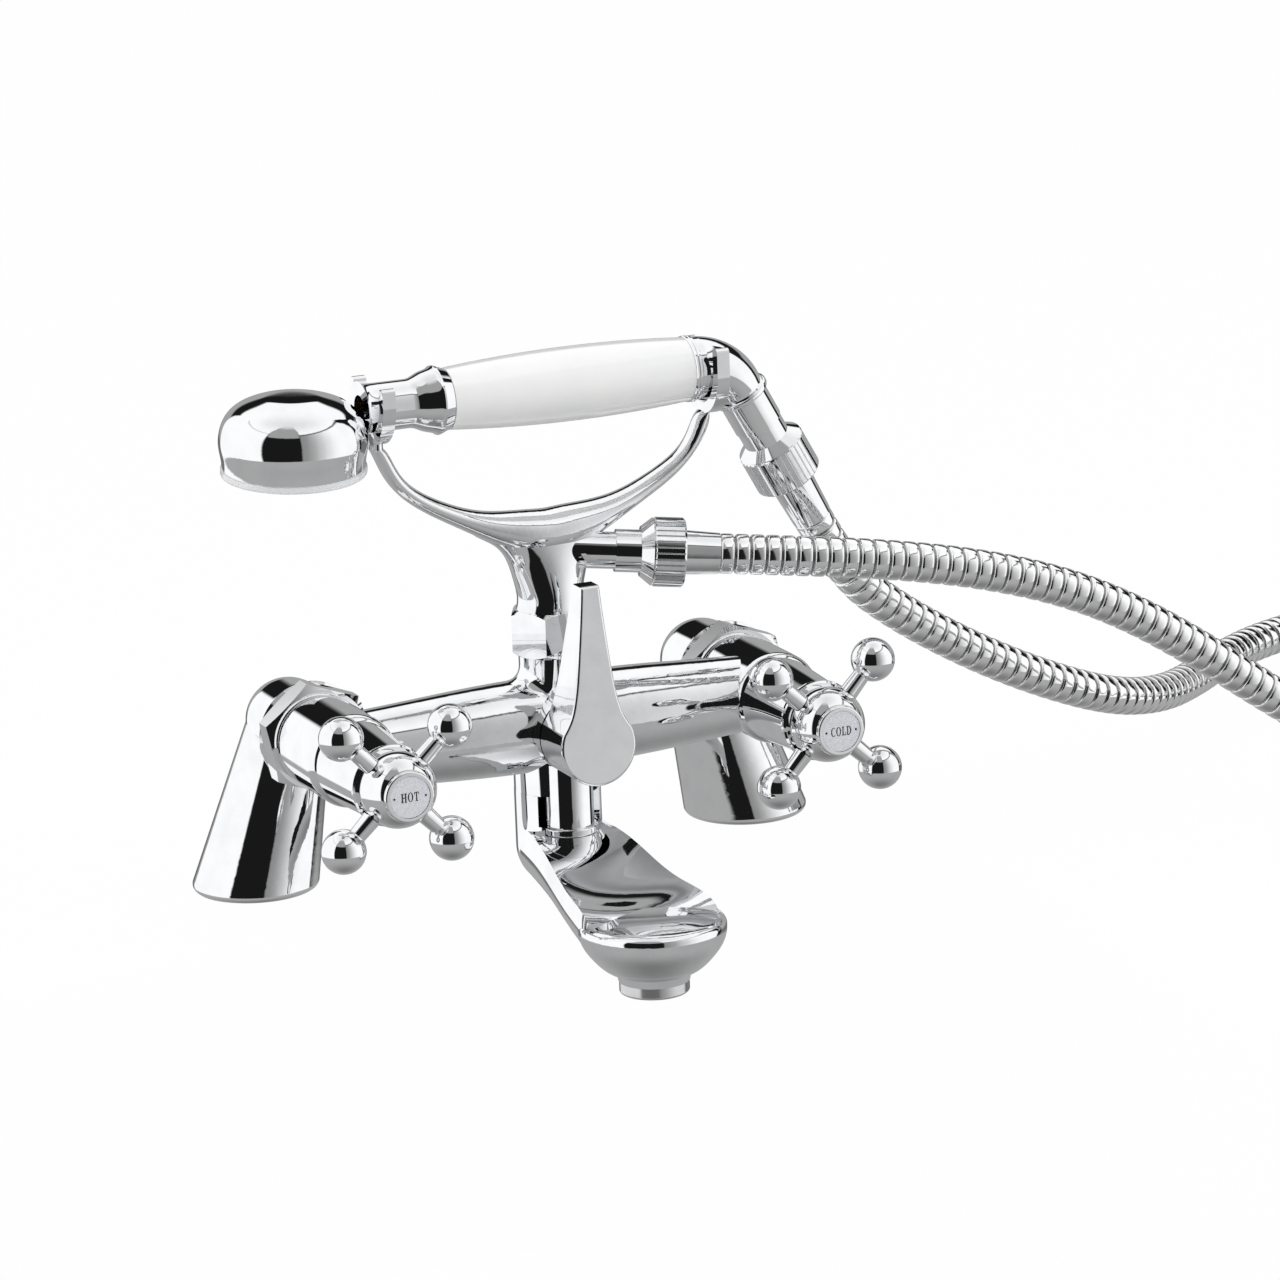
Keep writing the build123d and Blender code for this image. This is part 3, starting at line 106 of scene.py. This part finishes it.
def coilPoints(s):
    points = []
    perQuarter = s["pointsPerQuarter"]
    fullness = 2 / (1 + cos(pi / 4 / perQuarter))       # the spline runs inside its points
    for k in range(6 * perQuarter + 1):
        quarter = k / perQuarter
        radius = (s["coilRadius"] - s["coilClosing"] * (3 - abs(quarter - 3))) * fullness
        climb = (1 - cos(pi * min(max((quarter - 2) / 2, 0), 1))) / 2
        turn = radians(90 * quarter - 90)
        points.append((s["coilCentre"][0] + radius * cos(turn),
                       s["coilCentre"][1] + radius * sin(turn),
                       s["lieHeight"] + s["layer"] * climb))
    return points


# The line that a run follows: the points of a bevel-less curve turned to a mesh
def hoseLine(name, points):
    curve = bpy.data.curves.new(name, "CURVE")
    curve.dimensions = "3D"
    curve.resolution_u = 24
    spline = curve.splines.new("NURBS")
    spline.points.add(len(points) - 1)
    for point, (x, y, z) in zip(spline.points, points):
        point.co = (x * mm, y * mm, z * mm, 1)
    spline.order_u = 3
    spline.use_endpoint_u = True
    holder = bpy.data.objects.new(name, curve)
    scene.collection.objects.link(holder)
    bpy.context.view_layer.update()
    graph = bpy.context.evaluated_depsgraph_get()
    mesh = bpy.data.meshes.new_from_object(holder.evaluated_get(graph))
    line = [v.co.copy() for v in mesh.vertices]
    bpy.data.objects.remove(holder)
    bpy.data.meshes.remove(mesh)
    return line


# Rings of the ribbed section, carried along the line without twist
def ribbedTube(name, line, s):
    runs = [(b - a).length for a, b in zip(line, line[1:])]
    total = sum(runs)
    ribs = round(total / s["pitch"] / mm)
    pitch = total / ribs
    stations = [((k + share) * pitch, height) for k in range(ribs) for share, height in s["rib"]]
    stations.append((total, 0))
    side = (line[1] - line[0]).normalized().orthogonal().normalized()
    verts, faces, ribHeight = [], [], []
    piece, covered = 0, 0
    for along, height in stations:
        while piece < len(runs) - 1 and covered + runs[piece] < along:
            covered += runs[piece]
            piece += 1
        share = min(1, (along - covered) / runs[piece])
        centre = line[piece].lerp(line[piece + 1], share)
        before = (line[piece + 1] - line[max(piece - 1, 0)]).normalized()
        after = (line[min(piece + 2, len(line) - 1)] - line[piece]).normalized()
        tangent = before.lerp(after, share).normalized()
        side = (side - tangent * side.dot(tangent)).normalized()
        other = tangent.cross(side)
        radius = (s["root"] + (s["radius"] - s["root"]) * height) * mm
        for k in range(s["sides"]):
            turn = 2 * pi * k / s["sides"]
            verts.append(centre + side * (radius * cos(turn)) + other * (radius * sin(turn)))
            ribHeight.append(height)
    n = s["sides"]
    for ringIndex in range(len(stations) - 1):
        for k in range(n):
            a, b = ringIndex * n + k, ringIndex * n + (k + 1) % n
            faces.append((a, b, b + n, a + n))
    faces.append(tuple(reversed(range(n))))
    faces.append(tuple(range(len(verts) - n, len(verts))))
    mesh = bpy.data.meshes.new(name)
    mesh.from_pydata(verts, [], faces)
    mesh.attributes.new("ribHeight", "FLOAT", "POINT").data.foreach_set("value", ribHeight)
    mesh.update()
    print(name, "length mm", round(total / mm, 1), "ribs", ribs)
    return addObject(name, mesh), total


coil = coilPoints(hose)
mixerLine = hoseLine("mixerLine", hose["fromMixer"] + coil + [hose["fromHandset"][-1]])
handsetLine = hoseLine("handsetLine", hose["fromHandset"])
mixerHose, mixerLength = ribbedTube("shower_hose_mixer_run", mixerLine, hose)
handsetHose, handsetLength = ribbedTube("shower_hose_handset_run", handsetLine, hose)
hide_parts("hose_stem_side", "hose_coil")
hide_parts("hose_handset_side")
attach(mixerHose, "mixer")
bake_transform(handsetHose)
print("hose laid")


# Shader maths: a socket that adds its own Math nodes
class Sock:
    def __init__(self, tree, out):
        self.tree, self.out = tree, out

    def math(self, kind, *values):
        return addNode(self.tree, "ShaderNodeMath", {"operation": kind},
                       dict(enumerate((self,) + values)))

    def __add__(self, other): return self.math("ADD", other)
    def __radd__(self, other): return self.math("ADD", other)
    def __sub__(self, other): return self.math("SUBTRACT", other)
    def __rsub__(self, other): return (self * -1).math("ADD", other)
    def __mul__(self, other): return self.math("MULTIPLY", other)
    def __rmul__(self, other): return self.math("MULTIPLY", other)
    def atLeast(self, other): return self.math("MAXIMUM", other)

    # 0 below low, 1 above high, smooth between
    def rise(self, low, high):
        return addNode(self.tree, "ShaderNodeMapRange", {"interpolation_type": "SMOOTHSTEP"},
                       {"Value": self, "From Min": low, "From Max": high})

    # 1 between low and high, with soft ends
    def between(self, low, high, soft):
        return self.rise(low - soft, low + soft) * (1 - self.rise(high - soft, high + soft))

    def pick(self, name):
        return Sock(self.tree, self.out.node.outputs[name])


def addNode(tree, kind, settings=None, sockets=None, output=0):
    node = tree.nodes.new(kind)
    for name, value in (settings or {}).items():
        if name == "stops":
            ramp = node.color_ramp
            while len(ramp.elements) < len(value):
                ramp.elements.new(0.5)
            for element, (place, shade) in zip(ramp.elements, value):
                element.position, element.color = place, (*shade, 1)
        else:
            setattr(node, name, value)
    for name, value in (sockets or {}).items():
        if isinstance(value, Sock):
            tree.links.new(value.out, node.inputs[name])
        else:
            node.inputs[name].default_value = value
    return Sock(tree, node.outputs[output]) if node.outputs else node


def blendColour(tree, amount, first, second):
    def colour(value):
        return value if isinstance(value, Sock) else (*value, 1)
    return addNode(tree, "ShaderNodeMix", {"data_type": "RGBA"},
                   {0: amount, 6: colour(first), 7: colour(second)}, 2)


def newMaterial(name):
    material = bpy.data.materials.new(name)
    material.use_nodes = True
    material.node_tree.nodes.clear()
    return material, material.node_tree


def finishMaterial(tree, colour, roughness, normal, fixed):
    sockets = {"Base Color": colour, "Roughness": roughness}
    sockets.update(fixed)
    if normal is not None:
        sockets["Normal"] = normal
    shader = addNode(tree, "ShaderNodeBsdfPrincipled", {}, sockets)
    addNode(tree, "ShaderNodeOutputMaterial", {}, {"Surface": shader})


def noise(tree, scale, detail=2.0, roughness=0.5):
    place = addNode(tree, "ShaderNodeTexCoord").pick("Object")
    return addNode(tree, "ShaderNodeTexNoise", {},
                   {"Vector": place, "Scale": scale, "Detail": detail, "Roughness": roughness})


def bump(tree, height, strength, depth):
    return addNode(tree, "ShaderNodeBump", {},
                   {"Height": height, "Strength": strength, "Distance": depth})


# Plated chrome: near-mirror, with the faint waviness of buffed brass under it
chromeKinds = {
    "cast": {"pale": (0.93, 0.935, 0.945), "deep": (0.86, 0.87, 0.885), "rough": 0.022,
             "haze": 0.03, "wave": 38, "waveDepth": 0.00016, "fine": 900},
    "turned": {"pale": (0.93, 0.935, 0.945), "deep": (0.87, 0.88, 0.895), "rough": 0.018,
               "haze": 0.022, "wave": 60, "waveDepth": 0.00004, "fine": 1400},
    "knurled": {"pale": (0.9, 0.905, 0.915), "deep": (0.8, 0.81, 0.825), "rough": 0.05,
                "haze": 0.05, "wave": 200, "waveDepth": 0.00003, "fine": 2200},
    "satin": {"pale": (0.8, 0.805, 0.815), "deep": (0.74, 0.75, 0.765), "rough": 0.2,
              "haze": 0.05, "wave": 60, "waveDepth": 0.00004, "fine": 900},
}


def chrome(name, s):
    material, tree = newMaterial(name)
    broad = noise(tree, s["wave"], 1.5)
    cloud = noise(tree, s["wave"] * 2.7, 4, 0.6)
    fine = noise(tree, s["fine"], 3, 0.55)
    colour = blendColour(tree, cloud.rise(0.35, 0.75), s["pale"], s["deep"])
    roughness = cloud.rise(0.4, 0.8) * s["haze"] + fine * (s["haze"] * 0.3) + s["rough"]
    normal = bump(tree, broad + fine * 0.004, 0.25, s["waveDepth"])
    finishMaterial(tree, colour, roughness, normal, {"Metallic": 1.0})
    return material


# The hose: polished strip, with painted shade darkening the grooves between the ribs
hoseFinish = {"crest": (0.97, 0.972, 0.978), "groove": (0.34, 0.345, 0.35), "rough": 0.06}


def hoseChrome(name, s):
    material, tree = newMaterial(name)
    height = addNode(tree, "ShaderNodeAttribute", {"attribute_name": "ribHeight"}, output=2)
    cloud = noise(tree, 420, 3)
    # painted shade: the colour darkens from the bright crests down into the grooves between the
    # ribs
    colour = blendColour(tree, height.rise(0.02, 0.55), s["groove"], s["crest"])
    roughness = (1 - height) * 0.22 + cloud * 0.05 + s["rough"]
    normal = bump(tree, noise(tree, 1500, 2), 0.15, 0.00003)
    finishMaterial(tree, colour, roughness, normal, {"Metallic": 1.0})
    return material


# Glazed and enamelled whites, plastics, rubber, fibre and the inner metals
plainKinds = {
    "ceramicGlaze": {"pale": (0.94, 0.94, 0.935), "deep": (0.91, 0.915, 0.915), "scale": 55,
                     "rough": 0.1, "spread": 0.05, "depth": 0.00006,
                     "fixed": {"Coat Weight": 1.0, "Coat Roughness": 0.03, "IOR": 1.52}},
    "plateEnamel": {"pale": (0.74, 0.75, 0.79), "deep": (0.68, 0.69, 0.74), "scale": 900,
                    "rough": 0.16, "spread": 0.06, "depth": 0.00001,
                    "fixed": {"Coat Weight": 0.7, "Coat Roughness": 0.05}},
    "letterEnamel": {"pale": (0.016, 0.016, 0.02), "deep": (0.03, 0.03, 0.034), "scale": 2500,
                     "rough": 0.3, "spread": 0.1, "depth": 0.000005, "fixed": {}},
    "nozzlePlastic": {"pale": (0.84, 0.85, 0.86), "deep": (0.79, 0.8, 0.81), "scale": 160,
                      "rough": 0.14, "spread": 0.06, "depth": 0.00001, "fixed": {}},
    "sealRubber": {"pale": (0.03, 0.03, 0.032), "deep": (0.055, 0.055, 0.056), "scale": 700,
                   "rough": 0.55, "spread": 0.2, "depth": 0.00004, "fixed": {}},
    "washerFibre": {"pale": (0.13, 0.12, 0.11), "deep": (0.2, 0.18, 0.16), "scale": 1200,
                    "rough": 0.7, "spread": 0.2, "depth": 0.00006, "fixed": {}},
    "machinedBrass": {"pale": (0.8, 0.61, 0.29), "deep": (0.62, 0.44, 0.2), "scale": 600,
                      "rough": 0.2, "spread": 0.16, "depth": 0.00002,
                      "fixed": {"Metallic": 1.0}},
    "turnedStainless": {"pale": (0.66, 0.66, 0.67), "deep": (0.5, 0.5, 0.51), "scale": 900,
                        "rough": 0.26, "spread": 0.14, "depth": 0.00002,
                        "fixed": {"Metallic": 1.0}},
}


def plainFinish(name, s):
    material, tree = newMaterial(name)
    cloud = noise(tree, s["scale"], 4, 0.6)
    fine = noise(tree, s["scale"] * 6, 2)
    colour = blendColour(tree, cloud.rise(0.35, 0.7), s["pale"], s["deep"])
    roughness = cloud * s["spread"] + s["rough"]
    normal = bump(tree, cloud + fine * 0.3, 0.3, s["depth"])
    finishMaterial(tree, colour, roughness, normal, s["fixed"])
    return material


finishes = {"chrome_" + key: chrome("chrome_" + key, value) for key, value in chromeKinds.items()}
finishes.update({key: plainFinish(key, value) for key, value in plainKinds.items()})
finishes["hoseChrome"] = hoseChrome("hoseChrome", hoseFinish)
for run in (mixerHose, handsetHose):
    run.data.materials.append(finishes["hoseChrome"])

# Which finish each carried-over part takes, by the end of its name
partFinish = {
    "chrome_cast": ("leg", "mixer_body", "cradle", "spout", "handset_head", "handset_elbow",
                    "diverter_lever", "shroud"),
    "chrome_knurled": ("hose_nut",),
    "chrome_satin": ("aerator_housing",),
    "ceramicGlaze": ("grip_sleeve",),
    "plateEnamel": ("index_plate",),
    "nozzlePlastic": ("spray_plate", "aerator_mesh"),
    "sealRubber": ("base_seals", "stem_o_ring", "head_gasket"),
    "washerFibre": ("washer",),
    "machinedBrass": ("cartridge", "diverter_spool", "inner_tube", "spout_dowel"),
    "turnedStainless": ("spindle", "handle_screw", "lever_grub_screw"),
}


def finishFor(name):
    if name.endswith("fixed_disc"):
        return "ceramicGlaze"
    for finish, ends in partFinish.items():
        if name.endswith(ends):
            return finish
    return "chrome_turned"


for name, obj in nodes.items():
    if obj.hide_render:
        continue
    obj.data.materials.clear()
    obj.data.materials.append(finishes[finishFor(name)])
print("finishes set")

# Index lettering: serif capitals laid on the plates, and a dot each side
lettering = {
    "height": 3.0, "gap": 0.36, "lift": 0.012, "thick": 0.03,
    "plateFront": -108.1, "axisHeight": 55.2, "dotRadius": 0.38, "dotReach": 5.3,
    "words": {"hot_handle": ("HOT", -75), "cold_handle": ("COLD", 75)},
    "squeeze": {"HOT": 0.74, "COLD": 0.7},
}


def oval(cx, cy, rx, ry, start=0, end=360, steps=28):
    return [(cx + rx * cos(radians(start + (end - start) * k / steps)),
             cy + ry * sin(radians(start + (end - start) * k / steps)))
            for k in range(steps + (end - start < 360))]


# each letter: advance width, then its outlines in units of the letter height
letters = {
    "H": (0.9, [[(0, 0), (0.4, 0), (0.4, 0.06), (0.31, 0.09), (0.31, 0.46), (0.59, 0.46),
                 (0.59, 0.09), (0.5, 0.06), (0.5, 0), (0.9, 0), (0.9, 0.06), (0.81, 0.09),
                 (0.81, 0.91), (0.9, 0.94), (0.9, 1), (0.5, 1), (0.5, 0.94), (0.59, 0.91),
                 (0.59, 0.55), (0.31, 0.55), (0.31, 0.91), (0.4, 0.94), (0.4, 1), (0, 1),
                 (0, 0.94), (0.09, 0.91), (0.09, 0.09), (0, 0.06)]]),
    "O": (0.84, [oval(0.42, 0.5, 0.41, 0.52), oval(0.42, 0.5, 0.22, 0.455)]),
    "T": (0.76, [[(0.19, 0), (0.57, 0), (0.57, 0.06), (0.47, 0.09), (0.47, 0.93), (0.62, 0.9),
                  (0.7, 0.7), (0.76, 0.7), (0.74, 1), (0.02, 1), (0, 0.7), (0.06, 0.7),
                  (0.14, 0.9), (0.29, 0.93), (0.29, 0.09), (0.19, 0.06)]]),
    "L": (0.68, [[(0, 0), (0.64, 0), (0.68, 0.34), (0.62, 0.34), (0.54, 0.1), (0.3, 0.08),
                  (0.3, 0.91), (0.4, 0.94), (0.4, 1), (0, 1), (0, 0.94), (0.11, 0.91),
                  (0.11, 0.09), (0, 0.06)]]),
    "C": (0.76, [oval(0.42, 0.5, 0.41, 0.52, 42, 322) + [(0.68, 0.22)]
                 + oval(0.44, 0.5, 0.24, 0.455, 318, 46)]),
    "D": (0.84, [[(0, 0), (0.34, 0)] + oval(0.34, 0.5, 0.48, 0.5, -88, 88) + [(0, 1), (0, 0.94),
                  (0.1, 0.91), (0.1, 0.09), (0, 0.06)],
                 [(0.28, 0.07), (0.28, 0.93)] + oval(0.3, 0.5, 0.32, 0.43, 86, -86)]),
}


def addOutline(curve, points):
    spline = curve.splines.new("POLY")
    spline.points.add(len(points) - 1)
    for point, (x, y) in zip(spline.points, points):
        point.co = (x * mm, y * mm, 0, 1)
    spline.use_cyclic_u = True


def makeWord(body, word, centreX, s):
    curve = bpy.data.curves.new(body + "_word", "CURVE")
    curve.dimensions = "2D"
    curve.fill_mode = "BOTH"
    curve.extrude = s["thick"] / 2 * mm
    size, squeeze = s["height"], s["squeeze"][word]
    width = (sum(letters[c][0] for c in word) * size + s["gap"] * (len(word) - 1)) * squeeze
    x = -width / 2
    for c in word:
        advance, outlines = letters[c]
        for outline in outlines:
            addOutline(curve, [(x + px * size * squeeze, (py - 0.5) * size) for px, py in outline])
        x += (advance * size + s["gap"]) * squeeze
    for way in (-1, 1):
        addOutline(curve, oval(way * s["dotReach"], 0, s["dotRadius"], s["dotRadius"], steps=20))
    obj = addObject(body + "_lettering", curve)
    obj.location = (centreX * mm, (s["plateFront"] - s["lift"]) * mm, s["axisHeight"] * mm)
    obj.rotation_euler = (radians(90), 0, 0)
    curve.materials.append(finishes["letterEnamel"])
    bpy.context.view_layer.update()
    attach(obj, body)


for body, (word, centreX) in lettering["words"].items():
    makeWord(body, word, centreX, lettering)
print("plates lettered")

# Studio: a deck that turns the bath's corner, the bath floor below, and a light tent
studio = {
    "deckEdgeY": -62, "deckCornerX": 125, "cornerRound": 40,
    "deckThick": 120, "edgeRound": 14, "edgeSteps": 5,
    "bathFloor": -120, "reach": 3000,
    "floorPale": (0.86, 0.86, 0.86), "cameraShare": 0.98,
    "lightAim": (0.03, -0.04, 0.08),
    "key": {"place": (-0.75, -0.75, 1.25), "size": 0.9, "power": 8},
    "fill": {"place": (1.2, -0.6, 0.9), "size": 1.0, "power": 5},
}


def floorMaterial(s):
    material, tree = newMaterial("paleFloor")
    material.cycles.emission_sampling = "NONE"      # the glow is for the camera alone
    ray = addNode(tree, "ShaderNodeLightPath")
    seen = ray.pick("Is Camera Ray")
    grain = noise(tree, 9, 3)
    colour = blendColour(tree, grain, s["floorPale"], tuple(v * 0.985 for v in s["floorPale"]))
    matt = addNode(tree, "ShaderNodeBsdfDiffuse", {}, {"Color": colour})
    glow = addNode(tree, "ShaderNodeEmission", {}, {"Strength": 1.0})
    mixed = addNode(tree, "ShaderNodeMixShader", {}, {0: seen * s["cameraShare"], 1: matt, 2: glow})
    addNode(tree, "ShaderNodeOutputMaterial", {}, {"Surface": mixed})
    return material


def makeFloor(s):
    paint = floorMaterial(s)
    reach, edge, corner, rounding = (s[k] for k in ("reach", "deckEdgeY", "deckCornerX",
                                                    "cornerRound"))
    outline = [(-reach, reach), (-reach, edge), (corner - rounding, edge)]
    outline += [(corner - rounding + rounding * sin(radians(a)),
                 edge - rounding + rounding * cos(radians(a))) for a in range(10, 90, 10)]
    outline += [(corner, edge - rounding), (corner, -reach), (reach, -reach), (reach, reach)]
    outline.reverse()
    mesh = bpy.data.meshes.new("bathDeck")
    n = len(outline)
    top = [(x * mm, y * mm, 0) for x, y in outline]
    low = [(x * mm, y * mm, -s["deckThick"] * mm) for x, y in outline]
    faces = [tuple(range(n))] + [(k, n + k, n + (k + 1) % n, (k + 1) % n) for k in range(n)]
    mesh.from_pydata(top + low, [], faces)
    deck = addObject("bathDeck", mesh)
    soften = deck.modifiers.new("roundEdge", "BEVEL")
    soften.width, soften.segments = s["edgeRound"] * mm, s["edgeSteps"]
    soften.limit_method = "ANGLE"
    bath = bpy.data.meshes.new("bathFloor")
    r, depth = reach * mm, s["bathFloor"] * mm
    bath.from_pydata([(-r, -r, depth), (r, -r, depth), (r, r, depth), (-r, r, depth)],
                     [], [(0, 1, 2, 3)])
    bathFloor = addObject("bathFloor", bath)
    for obj in (deck, bathFloor):
        obj.data.materials.append(paint)
        obj.visible_glossy = False      # the tent's own table line is what the chrome mirrors


def addLight(name, s, aimAt):
    data = bpy.data.lights.new(name, "AREA")
    data.energy, data.size = s["power"], s["size"]
    light = bpy.data.objects.new(name, data)
    light.location = s["place"]
    aim = Vector(aimAt) - Vector(s["place"])
    light.rotation_euler = aim.to_track_quat("-Z", "Y").to_euler()
    light.visible_glossy = False
    scene.collection.objects.link(light)


# The tent, by bearing from the lens and height above the horizon, in degrees
tent = {
    "opening": 0.01, "tableLine": -19, "tableNear": 0.4, "tableUnder": 0.2,
    "leftPanel": (-145, -46, -25, 50), "leftLevels": (1.05, 1.05),
    "rightPanel": (17, 116, -25, 47), "rightLevels": (0.27, 1.05), "rightFull": 84,
    "ceilingStart": 50, "ceilingBehind": 35, "ceilingLevels": (1.05, 0.8),
    "gapColumn": (-44, 16, 40, 68), "gapGrey": 0.36,
    "behindFrom": 130, "wall": (-8, 19), "wallGrey": 0.38, "skirtingGrey": 0.17, "soft": 2.0,
}


def makeWorld(s):
    world = bpy.data.worlds.new("tent")
    scene.world = world
    world.use_nodes = True
    tree = world.node_tree
    tree.nodes.clear()
    way = addNode(tree, "ShaderNodeTexCoord").pick("Generated")
    x, y, z = (addNode(tree, "ShaderNodeSeparateXYZ", {}, {0: way}, k) for k in range(3))
    bearing0 = radians(cameraSet["azimuth"])
    ahead = x * sin(bearing0) - y * cos(bearing0)
    aside = x * cos(bearing0) + y * sin(bearing0)
    bearing = aside.math("ARCTAN2", ahead) * (180 / pi)
    height = z.math("ARCSINE") * (180 / pi)
    soft = s["soft"]

    def panel(name, levels, full):
        start, end, low, high = s[name]
        shade = levels[0] + bearing.rise(start, full) * (levels[1] - levels[0])
        return bearing.between(start, end, soft) * height.between(low, high, soft) * shade

    left = panel("leftPanel", s["leftLevels"], s["leftPanel"][1])
    right = panel("rightPanel", s["rightLevels"], s["rightFull"])
    behind = bearing.math("ABSOLUTE").rise(s["behindFrom"] - soft, s["behindFrom"] + soft)
    near, zenith = s["ceilingLevels"]
    lift = height + behind * (s["ceilingStart"] - s["ceilingBehind"])
    ceiling = lift.rise(s["ceilingStart"] - soft, s["ceilingStart"] + soft) \
        * (near + height.rise(s["ceilingStart"], 90) * (zenith - near))
    start, end, low, high = s["gapColumn"]
    column = bearing.between(start, end, 4)
    ceiling = ceiling * (1 - column * (1 - height.rise(high - 12, 88)))
    gap = column * height.rise(low - soft, low + soft) * s["gapGrey"]
    low, high = s["wall"]
    wall = (height.between(low, high, 3) * s["wallGrey"]).atLeast(
        (1 - height.rise(low - 3, low + 3)) * s["skirtingGrey"])
    room = left.atLeast(right).atLeast(ceiling).atLeast(gap).atLeast(behind * wall)
    room = room.atLeast(s["opening"])
    above = height.rise(s["tableLine"] - 1, s["tableLine"] + 1)
    table = s["tableNear"] + height.rise(-30, -88) * (s["tableUnder"] - s["tableNear"])
    tentShade = room * above + (1 - above) * table
    seen = addNode(tree, "ShaderNodeLightPath").pick("Is Camera Ray")
    level = seen + (1 - seen) * tentShade
    surface = addNode(tree, "ShaderNodeBackground", {}, {"Color": (1, 1, 1, 1), "Strength": level})
    addNode(tree, "ShaderNodeOutputWorld", {}, {"Surface": surface})


makeFloor(studio)
addLight("keyLight", studio["key"], studio["lightAim"])
addLight("fillLight", studio["fill"], studio["lightAim"])
makeWorld(tent)
scene.view_settings.view_transform = "Standard"
print("studio set")
